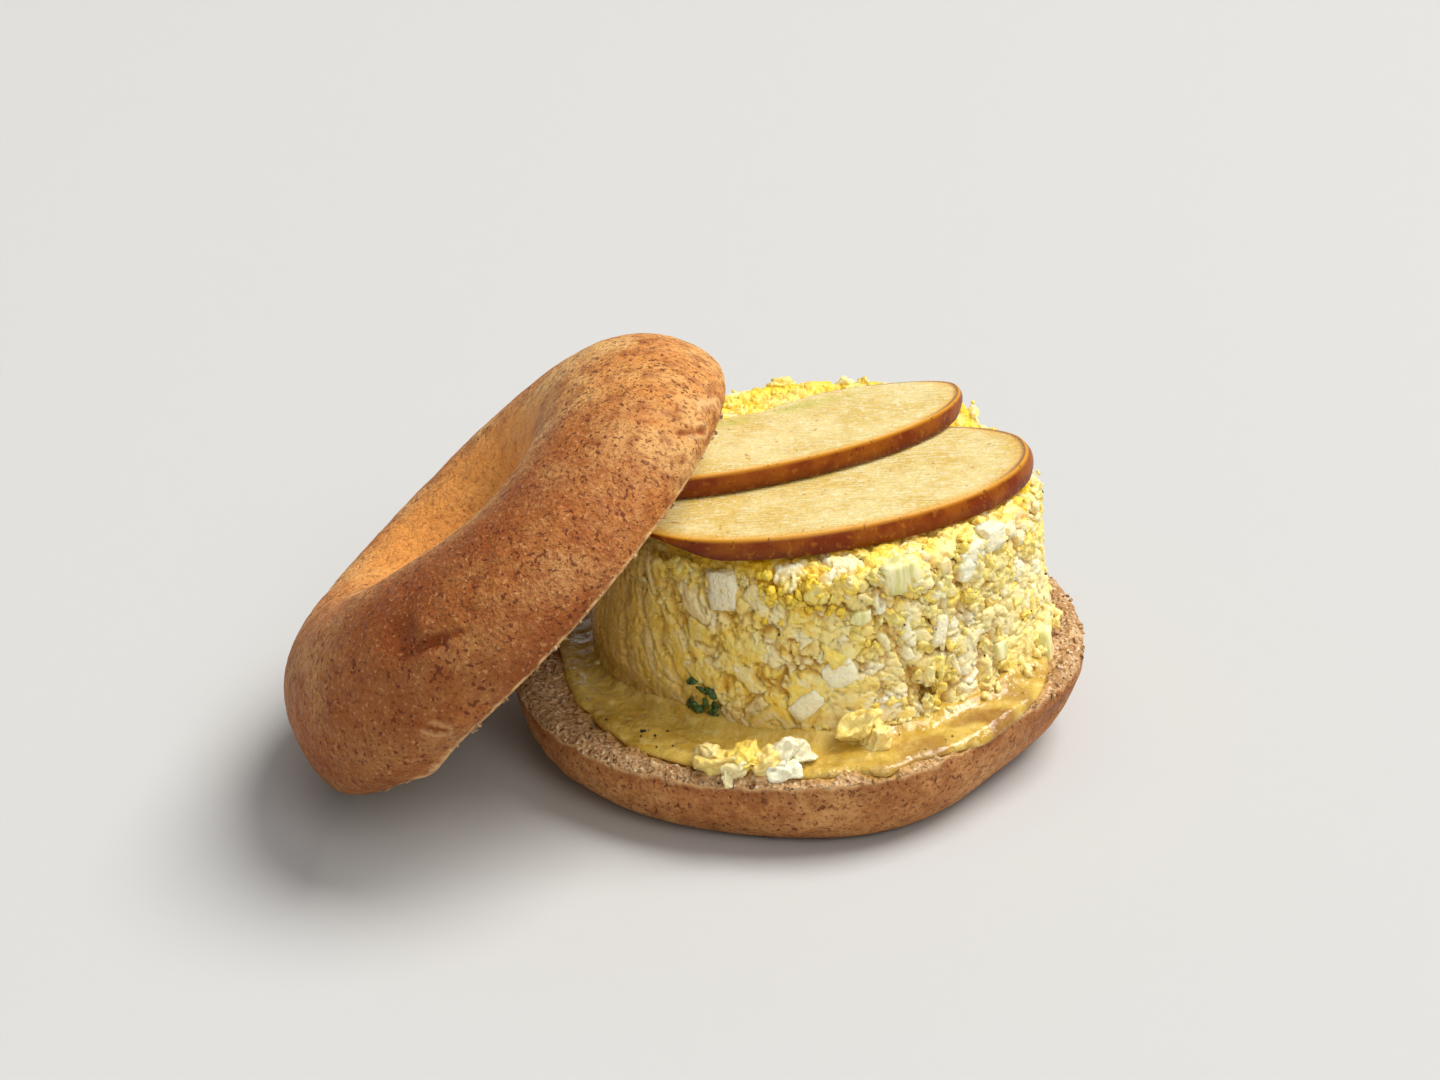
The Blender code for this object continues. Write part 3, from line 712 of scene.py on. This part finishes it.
def eggRelief(rings, angle, level, share):
    # Height of the pressed surface in mm; how white, yolky and wet each spot is, where white holds painted
    # light at the right front and wet painted shade at the far left; and painted shade in the deep spots.
    side = ease(share, 0.85, 1)
    smear = bump(angle, -160, 30) * side
    stretch = np.stack([np.ones_like(smear), np.ones_like(smear), 1 - 0.75 * smear], -1)
    at = warped(warped(rings * stretch, 5, 2, 300), 1.8, 0.9, 305)
    awayBig, roomBig, cellBig = lumps(at, 4.8, 310)
    awayMid, roomMid, cellMid = lumps(at, 2.5, 330)
    awaySmall, roomSmall, cellSmall = lumps(warped(rings, 1, 0.45, 340), 1.2, 350)
    loose = ease(level + 0.3 * rough(rings, 9, 360), 0.6, 0.8)
    crumbly = ease(rough(rings, 8, 364) + 0.6 * bump(angle, -58, 30), -0.1, 0.4)
    crumbly = np.maximum(crumbly, loose)
    # Curds of three sizes, pressed flush with the mould where they would stand out of it.
    height = 1.7 * (0.6 - awayBig) + 1.1 * (0.6 - awayMid) + 0.5 * (0.55 - awaySmall)
    height += 1.3 * (chance(cellBig, 315) - 0.5) + 0.9 * (chance(cellMid, 335) - 0.5)
    height += 0.3 * (chance(cellSmall, 355) - 0.5) + 0.5 * rough(at, 1.7, 366, 3)
    height -= 0.6 * ease(roomMid, 0.16, 0) * mix(0.75, 1, crumbly)
    height -= 1.2 * ease(roomBig, 0.13, 0) * ease(rough(rings, 5, 362, 2), -0.2, 0.15)
    height -= 0.2 * ease(roomSmall, 0.12, 0) * crumbly
    height = height - 0.05 - 0.1 * crumbly - 0.2 * loose
    height -= 1.1 * ease(rough(at, 4.6, 370, 4), 0.2, 0.5) * mix(0.5, 1, crumbly)
    flush = mix(0.1, 0.32, loose)
    height = np.where(height > flush, flush + mix(0.06, 0.3, loose) * (height - flush), height)
    height = np.maximum(height, -2.2 + 0.2 * (height + 2.2)) * mix(1, 0.6, smear)
    bent = warped(rings, 2, 0.8, 368)
    for degrees, where, deep, wide in heapDips:
        away = np.linalg.norm(bent - heapPoint(radians(degrees), where), axis=-1)
        height -= deep * bell(away, wide)
    onTop = ease(share, 1, 0.93)
    height *= (1 - 0.45 * onTop) * (1 - 0.4 * ease(level, 0.92, 0.98) * side)
    height += 3 * bump(angle, -160, 17) * ease(level, 1, 0.3) * side
    sauced = 0.7 * ease(level, 0.24 + 0.12 * soft(rings, 6, 390), 0.06) * bump(angle, -140, 42)
    height *= 1 - 0.75 * sauced
    # Chunks of egg white and of yolk among the rest.
    whiteMid = (chance(cellMid, 380) > 0.83) * ease(roomMid, 0.02, 0.12)
    whiteBig = (chance(cellBig, 381) > 0.88) * ease(roomBig, 0.02, 0.1)
    # Paler cream towards the right front is painted light on the side that faces the lamp.
    pale = 0.3 * ease(np.cos(angle + radians(30)), 0.2, 0.9) + 0.25 * soft(at, 4, 387)
    white = np.clip(0.45 * whiteMid + 0.5 * whiteBig + pale, 0, 1) * (1 - 0.6 * smear)
    upperFront = bump(angle, -104, 7) * ease(level, 0.74, 0.92)
    upperFront += bump(angle, -91, 5) * ease(level, 0.62, 0.85)
    upperFront *= side * ease(soft(rings, 2.6, 384), -0.5, 0.1)
    yolk = 0.3 * (chance(cellMid, 383) > 0.93) + 0.25 * (chance(cellSmall, 386) > 0.88)
    yolk += 0.8 * upperFront + 0.8 * onTop * ease(soft(rings, 6.5, 385), -0.6, 0.2)
    yolk += 0.5 * bump(angle, -14, 14) * ease(level, 0.62, 0.95) + 0.3 * ease(level, 0.93, 0.99) * side
    yolk = np.clip(yolk * (1 - 0.8 * white), 0, 1)
    # Wet with dressing where sauced or smeared; the band at the far left, by the bread, is painted shade.
    wet = np.clip(np.maximum(sauced, 0.45 * smear) + 0.9 * bump(angle, -162, 20) * side, 0, 1)
    # The last value is painted shade in the deeper spots.
    return height, white, yolk, wet, ease(height, -0.3, -1.8)


def makeEggCore(egg):
    rings, angle, level, share = heapRings()
    height, white, yolk, wet, dips = eggRelief(rings, angle, level, share)
    height = height * ease(level, 0, 0.03)
    mesh = ringMesh("egg core", pressed(rings + ringNormals(rings, False) * height[..., None], gap + 0.2))
    paint(mesh, white=white, yolk=yolk, wet=wet, dips=dips)
    return addPiece("eggCore", mesh, (egg,), "egg_salad")


def eggMaterial():
    m = Recipe("egg salad", 0.42, 0.5)
    m.base((252, 225, 116), (247, 210, 88), m.patches(3.5, 3, 0.35, 0.65))
    m.lay((253, 238, 162), m.patches(1.5, 4, 0.46, 0.64, 0.6))
    # Egg white chunks, and painted light at the right front.
    m.lay((252, 245, 212), m.painted("white"))
    m.lay((252, 210, 44), m.painted("yolk"))
    # Dressing tint where wet, and painted shade at the far left by the bread.
    m.lay((176, 130, 50), m.painted("wet", 0.8))
    # Painted shade in the dips.
    m.lay((220, 166, 50), m.painted("dips", 0.7))
    m.lay((246, 206, 76), m.patches(0.9, 2, 0.62, 0.7, 0.35))
    m.relief(m.noise(2, 4), 0.5)
    m.relief(m.noise(0.8, 4), 0.4)
    m.glow(0.3, (1, 0.75, 0.3), 1)
    return m.finish(m.patches(1.6, 2, 0.35, 0.65, 0.5, 0.26))


# Loose pieces of the salad, set into the heap or fallen from it.

salad = {
    "whiteDice": 18, "curds": 240, "crumbs": 220, "yolkCrumbs": 40, "footCrumbs": 110, "pepper": 46,
    "proud": 0.35, "seed": 5, "breadCrumbs": 320,
}


plain = (0, 0, 0)  # no white, yolk or wet share


def unitShape(kind):
    # Points and faces of a cube with a grid on each side, or of a ball, one unit across.
    shape = bmesh.new()
    if kind == "dice":
        bmesh.ops.create_cube(shape, size=1)
        bmesh.ops.subdivide_edges(shape, edges=shape.edges, cuts=4, use_grid_fill=True)
    else:
        bmesh.ops.create_icosphere(shape, subdivisions={"chunk": 5, "lump": 3, "crumb": 2}[kind], radius=0.5)
    points = np.array([vertex.co for vertex in shape.verts])
    faces = np.array([[vertex.index for vertex in face.verts] for face in shape.faces])
    shape.free()
    if kind == "dice":
        points = mix(points, 0.6 * unit(points), 0.3)
    return points, faces


def settle(points, proud):
    # Presses points back so that they stand little out of the heap's side and top.
    x, y, z = points.T
    angle, away = aboutHeap(x, y)
    base, top = fillingBase(x, y), eggTop(x, y)
    most = eggRadius(angle, np.clip((z - base) / (top - base), 0, 1)) + proud
    scale = np.where(away > most, (most + 0.25 * (away - most)) / np.maximum(away, 1e-6), 1)
    x, y = (v + (p - v) * scale for p, v in ((x, eggSalad["x"]), (y, eggSalad["y"])))
    limit = top + np.where(underSlices(x, y), 0.1, proud)
    return pressed(np.stack([x, y, np.where(z > limit, limit + 0.1 * (z - limit), z)], -1), gap + 0.1)


def underSlices(x, y):
    # True under an apple slice or just beside it.
    covered = np.zeros(np.shape(x), bool)
    for shape in (frontSlice, backSlice):
        u, w = inSlice(shape, x, y)
        depth = np.where(w < 0, shape["front"], shape["back"]) + 2
        covered |= (u / (shape["halfLength"] + 2)) ** 2 + (w / depth) ** 2 < 1
    return covered


def broken(shape, number, cuts):
    # Cuts flat sides on a round shape, as on a broken chunk.
    draw = random.Random(1000 + number)
    for _ in range(cuts):
        side = unit(np.array([draw.gauss(0, 1) for _ in range(3)]))
        over = np.maximum(shape @ side - draw.uniform(0.18, 0.4), 0)
        shape = shape - over[:, None] * side
    return shape


def joinedPieces(name, kind, pieces, wobble, finish, proud=None, cuts=0, node="egg_salad"):
    # One mesh of many pieces. Each has a place, a size, a 3 x 3 turn and its white, yolk and wet shares.
    whole, wholeFaces = unitShape(kind)
    points, faces, tones = [], [], []
    for number, (place, size, turn, tone) in enumerate(pieces):
        out = wobble * np.mean(size) * rough(whole * 1.6 + 3.7 * number, 0.45, 400, 2)
        shape = broken(whole, number, cuts) * np.array(size) + unit(whole) * out[:, None]
        shape = shape @ turn + np.array(place)
        if proud is not None:
            shape = settle(shape, proud)
        points.append(shape)
        faces.append(wholeFaces + number * len(whole))
        tones.append(np.tile(tone, (len(whole), 1)))
    points, tones = np.concatenate(points), np.concatenate(tones)
    mesh = newMesh(name, points, np.concatenate(faces).tolist())
    paint(mesh, white=tones[:, 0], yolk=tones[:, 1], wet=tones[:, 2])
    return addPiece(name, mesh, (finish,), node)


def facing(roll, angle):
    # A turn that rolls a piece, then points its Z side out of the heap at an angle.
    out = direction(angle)
    return turned(*roll).T @ np.stack([(-out[1], out[0], 0), (0, 0, 1), out])


def flushTurn(angle, draw, tilt=0.25):
    return facing([draw.uniform(-tilt, tilt) for _ in range(2)] + [draw.uniform(0, 2 * pi)], angle)


def sidePlace(angle, level, depth):
    return heapPoint(angle, level) - depth * direction(angle)


def freeTopPlace(draw):
    # A spot on the heap's top that no apple slice covers.
    while True:
        spot = heapPoint(draw.uniform(-pi, pi), 1, sqrt(draw.uniform(0.05, 0.96)))
        if not underSlices(spot[0], spot[1]):
            return spot


def topSpot(draw, sunk, tilt):
    # A place on the free top and a turn for a piece there.
    place = freeTopPlace(draw) - np.array((0, 0, sunk))
    return place, turned(draw.uniform(-tilt, tilt), 0.3, draw.uniform(0, 6.3))


def scatterSide(count, draw, levels, sizes, flat, tone, topShare):
    # Pieces over the side of the heap, and some on the free part of its top.
    pieces = []
    for number in range(count):
        angle = radians(360 * (number + draw.random()) / count - 180)
        level = levels[0] + (levels[1] - levels[0]) * ((number * 0.618 + 0.3 * draw.random()) % 1)
        across = draw.uniform(*sizes)
        shape = (across * draw.uniform(0.8, 1.3), across * draw.uniform(0.7, 1.1), across * flat)
        if draw.random() < topShare:
            place, turn = topSpot(draw, 0.25 * shape[2], 0.4)
        else:
            place = sidePlace(angle, level, shape[2] * draw.uniform(0.2, 0.42))
            turn = flushTurn(angle, draw)
        pieces.append((place, shape, turn, tone(draw)))
    return pieces


def placedPiece(degrees, level, size, roll, tone):
    # A piece seen in the photograph: where it is on the side, its size and its roll in degrees.
    angle = radians(degrees)
    return sidePlace(angle, level, 0.3 * size[2]), size, facing((0, 0, radians(roll)), angle), tone


# Dice of egg white and pieces of celery at the front: angle in degrees, level, size and roll.
seenWhite = (
    (-85, 0.37, (6, 4.8, 3.4), 24), (-93, 0.18, (6.6, 3.6, 3.4), 40), (-116, 0.83, (5.6, 7.2, 4), 10),
    (-38, 0.94, (5, 4.6, 4.2), 5), (-47, 0.9, (5.6, 3.2, 4), 12), (-58, 0.5, (2.6, 5.6, 3), -12),
)
seenCelery = (
    (-69, 0.91, (6.6, 5.2, 4.6), 14), (-37, 0.2, (2.6, 3.6, 3.4), 10), (35, 0.4, (4.4, 6, 3.2), 60),
    (110, 0.6, (6, 4, 3.2), 20), (160, 0.3, (4, 5, 3), -20), (-80, 0.7, (3.6, 2.2, 3), 5),
)
# Lumps that fell off: place, size, turn, and shares of white, yolk and wet.
fallenLumps = (
    ((-13, -49.4, 16.6), (9.8, 8, 6), (0.1, 0.2, 0.3), (0.35, 0.35, 0)),
    ((-16, -48.4, 16.6), (6.8, 6.6, 4.6), (0.3, 0.1, 1.2), (0.5, 0.2, 0.1)),
    ((-11.4, -51.4, 16), (6.6, 5, 4.6), (0.1, 0.3, 0.2), (0.6, 0.1, 0.1)),
    ((-8.8, -49, 17), (8.4, 7.8, 5.6), (0.2, 0.2, 2), (0.15, 0.5, 0.1)),
    ((-5.8, -49.4, 16.6), (8.2, 7.2, 5.4), (0.1, 0.1, 0.7), (0.4, 0.3, 0.1)),
    ((-2.6, -49.4, 17), (10, 7.6, 6), (0.1, 0.5, 0.25), (1, 0, 0)),
    ((-3.2, -51.4, 16), (7.6, 4.4, 4.8), (0.2, 0.1, 0.1), (1, 0, 0)),
    ((0.4, -47.6, 17.2), (7.4, 6.6, 4.2), (0.1, 0.4, 0.9), (0.9, 0, 0.1)),
    ((-12.2, -53, 15.2), (2.2, 2.2, 4.2), (0, 0.1, 0), (0.8, 0.2, 0)),
    ((10.6, -43.4, 20.2), (9, 4.8, 5), (0.2, 0.7, 0.1), (0.15, 0.1, 0)),
    ((13.6, -43.4, 18.6), (6.4, 4.8, 6.4), (0.5, -0.4, 0.7), (0.3, 0.1, 0)),
    ((38.5, -17, 20.6), (9.6, 8.4, 7), (0.2, 0.3, 0.4), (0.3, 0.1, 0.3)),
    ((34, -25, 19.2), (7.6, 5.4, 4.4), (0.2, 0.3, 1.4), (0.3, 0.1, 0.5)),
)


def makeSaladPieces(egg):
    v = salad
    draw = random.Random(v["seed"])
    dice = scatterSide(v["whiteDice"], draw, (0.1, 0.9), (1.8, 3.6), 0.75,
                       lambda d: (d.uniform(0.4, 0.8), 0, 0.1), 0.15)
    dice += [placedPiece(*row, (0.9, 0, 0)) for row in seenWhite]
    joinedPieces("eggWhiteDice", "dice", dice, 0.16, egg, 0.12)
    curds = []
    for number in range(v["curds"]):
        angle = radians(draw.uniform(-180, 180))
        level = 0.93 - 0.38 * draw.random() ** 1.4
        if number % 3 == 1:
            angle, level = radians(draw.gauss(-55, 24)), draw.uniform(0.03, 0.95)
        size = draw.uniform(2, 4.8)
        tone = (max(0, draw.uniform(-0.4, 0.5)), max(0, draw.uniform(-1.4, 0.3)), 0)
        shape = (size * draw.uniform(0.8, 1.4), size * draw.uniform(0.7, 1.1), size * 0.7)
        if number % 6 == 2:
            place, turn = topSpot(draw, 0.2 * size, 0.5)
        else:
            place, turn = sidePlace(angle, level, shape[2] * draw.uniform(0.3, 0.45)), flushTurn(angle, draw)
        curds.append((place, shape, turn, tone))
    joinedPieces("eggCurds", "lump", curds, 0.5, egg, v["proud"], 4)
    crumbs = scatterSide(v["crumbs"], draw, (0.04, 0.98), (0.7, 1.7), 0.8,
                         lambda d: (max(0, d.uniform(-0.8, 0.4)), max(0, d.uniform(-1.8, 0.8)), 0), 0.2)
    for number in range(v["yolkCrumbs"]):
        angle = radians(draw.choice((-104, -91)) + draw.gauss(0, 4.5))
        size = draw.uniform(0.9, 2)
        place = sidePlace(angle, min(0.97, draw.gauss(0.87, 0.08)), 0.3)
        crumbs.append((place, (size,) * 3, flushTurn(angle, draw, 1), (0, 0.8, 0)))
    for number in range(v["footCrumbs"]):
        angle = radians(draw.uniform(-84, 200))
        size = draw.uniform(0.8, 2.6)
        place = sidePlace(angle, 0.02, -draw.uniform(-0.6, 2))
        crumbs.append((place, (size, size * 0.9, size * 0.7), flushTurn(angle, draw, 1), (0.25, 0, 0)))
    joinedPieces("eggCrumbs", "crumb", crumbs, 0.35, egg, None, 3)
    fallen = [(place, size, turned(*turn), tone) for place, size, turn, tone in fallenLumps]
    joinedPieces("fallenEgg", "chunk", fallen, 0.22, egg, None, 5)


def makeBreadCrumbs(crumb):
    # Torn crumbs along the cut edge of each half, and loose ones on the lower cut face.
    draw = random.Random(31)
    low, high = [], []
    for number in range(salad["breadCrumbs"]):
        angle = radians(draw.uniform(-180, 180))
        size = draw.uniform(0.4, 1.3)
        turn = turned(*(draw.uniform(0, 6.3) for _ in range(3)))
        radius = rimRadius(angle) - 4.5 * draw.random() ** 2
        if radius > dressingEdge(angle) + 0.4:
            x, y = radius * cos(angle), radius * sin(angle)
            place = (x, y, rimPlane(x, y) + draw.uniform(-0.2, 0.2))
            low.append((place, (size, size, size * 0.7), turn, plain))
        degrees = draw.uniform(-180, 180)
        swell = upperSwell(radians(degrees)) + upperHalf["nearRimSpread"] * bump(radians(degrees), -80, 45)
        radius = upperHalf["rim"] + 0.89 * swell + 0.2 - 2 * draw.random() ** 2
        spot = upperPoint(degrees, radius, draw.uniform(-0.1, 0.5))
        high.append((fromUpper(spot), (size, size, size * 0.8), turn, plain))
    joinedPieces("lowerCrumbs", "crumb", low, 0.4, crumb, None, 2, "bagel_bottom")
    joinedPieces("upperCrumbs", "crumb", high, 0.4, crumb, None, 2, "bagel_top")


def greenMaterial(name, pale, deep, gloss):
    m = Recipe(name, gloss)
    stripes = m.noise(0.9, 2, m.stretched(1, 1, 0.12))
    m.relief(stripes, 0.25)
    m.glow(0.3, (0.8, 1, 0.4), 1.5)
    m.base(pale, deep, m.between(stripes, 0.4, 0.65))
    return m.finish()


def pepperMaterial():
    m = Recipe("ground pepper", 0.5, 0.4)
    m.base((28, 20, 16), (70, 46, 30), m.patches(0.4, 2, 0.4, 0.6))
    return m.finish()


def makeGreens():
    # The celery pieces, the herb at the lower left and the ground pepper.
    draw = random.Random(17)
    stalk = greenMaterial("celery", (246, 236, 180), (220, 216, 136), 0.3)
    slab = [((45.4, -12.4, 20.6), (3, 3.6, 7.6), turned(0.1, 0.12, 0.3), plain)]
    joinedPieces("celerySlab", "dice", slab, 0.1, stalk)
    joinedPieces("celeryBits", "dice", [placedPiece(*row, plain) for row in seenCelery], 0.22, stalk, 0.3)
    leaf = greenMaterial("herb", (74, 106, 44), (26, 54, 22), 0.35)
    bits = []
    for degrees, where, count, reach in ((-121, 0.1, 12, 2.5), (-154, 0.72, 3, 1.4), (70, 0.5, 5, 1.5)):
        for _ in range(count):
            angle = radians(degrees + draw.gauss(0, reach))
            size = (draw.uniform(1.8, 3.4), draw.uniform(0.8, 1.6), 0.5)
            place = sidePlace(angle, where + draw.gauss(0, 0.025 * reach), -0.35)
            bits.append((place, size, flushTurn(angle, draw, 0.5), plain))
    joinedPieces("herbBits", "crumb", bits, 0.35, leaf)
    specks = [((-27.7, -38.7, 16.9), (1, 0.8, 0.6), np.eye(3), plain),
              ((-23.3, -39.1, 17.1), (0.5, 0.5, 0.4), np.eye(3), plain)]
    for number in range(salad["pepper"]):
        size = draw.uniform(0.25, 0.62)
        if number % 2:
            angle = radians(draw.uniform(-180, 180))
            place = sidePlace(angle, draw.uniform(0.1, 0.9), -0.25)
        else:
            angle = radians(draw.uniform(-180, 180) if number % 4 else draw.uniform(-150, -30))
            x, y, _ = draw.uniform(44.5, dressingEdge(angle) - 1.2) * direction(angle)
            place = (x, y, dressingTop(x, y) - 0.1)
        specks.append((place, (size, size * 0.8, size * 0.6), flushTurn(angle, draw, 1), plain))
    joinedPieces("pepperSpecks", "crumb", specks, 0.3, pepperMaterial())


# Apple slices: moist flesh with a core line, and peel round the outside.

slices = {"columns": 300, "faceRows": 42, "wallRows": 10, "thick": 3.9, "rounding": 0.35, "peelEnd": 0.62}


def sliceOutline(shape, angle):
    c, s = np.cos(angle), np.sin(angle)
    point = ease(c, 0, 0.8)
    end = shape["halfLength"] * np.sign(c) * np.abs(c) ** np.where(s < 0, 0.95, 0.8 + 0.15 * point)
    notch = 2.5 * bell(end, 11) * ease(s, 0.5, 0.9)
    notch = notch * (1 + 0.14 * np.sin(end * 0.75 + 1) + 0.06 * np.sin(end * 1.9))
    front = shape["front"] * np.abs(s) ** (0.95 + 0.07 * point)
    return end, np.where(s < 0, -front, shape["back"] * np.abs(s) ** (0.65 + 0.5 * point) - notch)


def makeSlice(name, shape, flesh, peel, node, seed):
    v = slices
    thick, faceRows = v["thick"], v["faceRows"]
    angle = fullTurn(v["columns"])
    end, side = sliceOutline(shape, angle)
    # Rows from the middle of the top face to its edge, down the wall and back under.
    turn = np.linspace(0, pi / 2, 5)
    face = np.linspace(0.02, 0.985, faceRows)
    scale = np.concatenate([face, 1 - 0.008 * (1 - np.sin(turn)), np.ones(v["wallRows"]),
                            1 - 0.008 * (1 - np.cos(turn)), face[::-1]])[:, None]
    height = np.concatenate([np.full(faceRows, thick), thick - v["rounding"] * (1 - np.cos(turn)),
                             np.linspace(0.9, 0.1, v["wallRows"]) * thick,
                             v["rounding"] * (1 - np.sin(turn)), np.zeros(faceRows)])[:, None]
    bulge = 0.45 * np.sin(pi * np.clip(height / thick, 0, 1)) * ease(scale, 0.97, 1)
    bulge = bulge * ease(-np.sin(angle), -0.3, 0.2)
    local = np.stack([end * scale, side * scale], -1)
    local = local + unit(local) * bulge[..., None]
    leaning = (1 - height / thick)[..., None] * shape["lean"]
    flat = np.zeros(local.shape[:2] + (3,))
    flat[..., :2] = shape["centre"] + local @ np.stack(sliceAxes(shape)) + leaning
    surface = ease(scale, 1, 0.95) * np.where(height > thick / 2, 1, -1)
    ripple = 0.1 * rough(flat, 6, seed) + 0.05 * rough(flat, 1.6, seed + 3)
    tip = 0.75 * ease(-np.cos(angle), 0.72, 1) + 0.4 * ease(np.cos(angle), 0.86, 1)
    lifted = shape["height"] + eggSalad["topSlopeY"] * flat[..., 1] + ripple * surface
    rings = flat.copy()
    rings[..., 2] = lifted + mix(height, thick, tip * ease(scale, 0.5, 1))
    mesh = ringMesh(name, pressed(rings, gap))
    row = np.arange(len(scale) - 1)[:, None]
    onWall = (row >= faceRows) & (row < len(scale) - faceRows - 1)
    slots = (onWall & (np.sin(angle + pi / v["columns"]) < v["peelEnd"])).astype(int).ravel().tolist()
    mesh.polygons.foreach_set("material_index", slots + [0] * (2 * v["columns"]))
    ends = ease(np.cos(angle), 0.55, 0.85) + 0.6 * ease(np.sin(angle), 0.1, 0.5) * (np.cos(angle) > 0)
    core = bell(local[..., 1] - shape["back"] + 4.2, 1.5) * bell(local[..., 0] - 2, 15)
    paint(mesh, underPeel=ease(scale, 0.9, 0.99) * ease(-np.sin(angle), -0.62, -0.4),
          outline=0.85 * np.clip(ends, 0, 1) * ease(scale, 0.965, 0.985),
          core=core * ease(soft(flat, 5, seed + 7), -0.6, 0.2), low=1 - height / thick + 0 * angle)
    return addPiece(name, mesh, (flesh, peel), node)


def fleshMaterial():
    m = Recipe("apple flesh", 0.32, 0.5)
    streaks = m.noise(1, 3, m.stretched(0.35, 2.2, 1, -28))
    m.base((224, 203, 134), (212, 181, 94), m.patches(8, 3, 0.34, 0.66))
    m.lay((233, 221, 172), m.between(streaks, 0.48, 0.66, 0, 0.6))
    m.lay((239, 229, 186), m.patches(1.4, 4, 0.52, 0.7, 0.5))
    m.lay((184, 128, 44), m.patches(1.7, 1, 0.71, 0.76, 0.7))
    m.lay((186, 178, 58), m.painted("core", 0.85))
    m.lay((220, 160, 40), m.painted("underPeel", 0.7))
    m.lay((120, 70, 14), m.painted("outline"))
    m.relief(streaks, 0.4)
    m.relief(m.noise(0.7, 3), 0.2)
    m.glow(0.3, (1, 0.75, 0.3), 2)
    m.coat(0.25, 0.15)
    return m.finish(m.patches(2.5, 2, 0.35, 0.65, 0.42, 0.25))


def peelMaterial():
    m = Recipe("apple peel", 0.36, 0.15)
    m.base((142, 74, 8), (114, 42, 2), m.patches(6, 3, 0.35, 0.65))
    m.lay((84, 28, 2), m.between(m.painted("low"), 0.5, 1, 0, 0.6))
    m.lay((214, 150, 44), m.between(m.painted("low"), 0.2, 0, 0, 0.85))
    m.lay((176, 112, 34), m.patches(1.2, 3, 0.56, 0.7, 0.4))
    m.lay((60, 24, 4), m.patches(0.8, 1, 0.68, 0.72, 0.6))
    m.relief(m.noise(1.5, 2), 0.1)
    m.coat(0.06, 0.25)
    return m.finish()


# Floor, light and camera.

studio = {
    "floor": (190, 190, 189), "lookAt": (20.49, 4.65, 25), "elevation": 26, "distance": 600,
    "lens": 80, "shiftX": -81, "shiftY": 62, "frameWidth": 1440, "ambient": 0.235,
    # Each lamp's place and width in metres, power and tint.
    "lamps": {"key": ((2.7, 0.9, 4.8), 3.6, 400, (1, 0.98, 0.95)),
              "fill": ((1.2, -2.2, 1.9), 1.8, 30, (1, 0.99, 0.97)),
              "top": ((0.4, -0.8, 4), 2.8, 12, (1, 1, 1))},
}


def makeFloor():
    # A flat floor that curves up into a wall far behind, and the same all round.
    reach, rise, curve = 1600, 900, 400
    turn = np.linspace(0, pi / 2, 12)
    radius = np.concatenate([[1, 300], reach - curve + curve * np.sin(turn), [reach]])
    height = np.concatenate([[0, 0], curve * (1 - np.cos(turn)), [rise]])
    ring = polar(radius[:, None], fullTurn(64), height[:, None])
    index = np.arange(len(radius) * 64).reshape(len(radius), 64)
    quads = np.stack([index[:-1], np.roll(index[:-1], -1, 1), np.roll(index[1:], -1, 1), index[1:]], -1)
    faces = quads.reshape(-1, 4).tolist() + [index[0].tolist()[::-1]]
    mesh = newMesh("floor", ring.reshape(-1, 3) - lowerCentre, faces)
    m = Recipe("paper white", 0.8, 0.2)
    m.tint = colour(*studio["floor"])
    mesh.materials.append(m.finish())
    floor = newObject("studioFloor", mesh)


def makeLights():
    for name, (place, size, power, tint) in studio["lamps"].items():
        light = bpy.data.lights.new(name, "AREA")
        light.shape = "DISK"
        light.size = size
        light.energy = power
        light.color = tint
        lamp = newObject(name, light)
        lamp.location = place
        aim = Vector((0, 0, 0.03)) - Vector(place)
        lamp.rotation_euler = aim.to_track_quat("-Z", "Y").to_euler()
    world = bpy.data.worlds.new("soft room")
    world.use_nodes = True
    back = world.node_tree.nodes["Background"]
    back.inputs["Color"].default_value = (1, 1, 1, 1)
    back.inputs["Strength"].default_value = studio["ambient"]
    scene.world = world


def makeCamera():
    v = studio
    raised = radians(v["elevation"])
    data = bpy.data.cameras.new("camera")
    data.lens = v["lens"]
    data.shift_x = v["shiftX"] / v["frameWidth"]
    data.shift_y = v["shiftY"] / v["frameWidth"]
    camera = newObject("camera", data)
    back = Vector((0, -cos(raised), sin(raised))) * v["distance"]
    camera.location = (Vector(v["lookAt"]) + back) * mm
    camera.rotation_euler = (pi / 2 - raised, 0, 0)
    scene.camera = camera


makeCamera()
makeLights()
makeFloor()
scene.view_settings.view_transform = "Standard"
print("studio ready")

crumb = crumbMaterial()
upperCrust = crustMaterial("upper crust", *crustColours["upper"])
lowerCrust = crustMaterial("lower crust", *crustColours["lower"])
makeLowerHalf(lowerCrust, crumb)
makeUpperHalf(upperCrust, crumb)
makeBreadCrumbs(crumb)
print("bread ready")

makeDressing(sauceMaterial())
print("dressing ready")

egg = eggMaterial()
makeEggCore(egg)
makeSaladPieces(egg)
makeGreens()
print("egg salad ready")

flesh, peel = fleshMaterial(), peelMaterial()
makeSlice("frontApple", frontSlice, flesh, peel, "apple_front", 500)
makeSlice("backApple", backSlice, flesh, peel, "apple_back", 520)
print("apple ready")

bpy.context.view_layer.update()
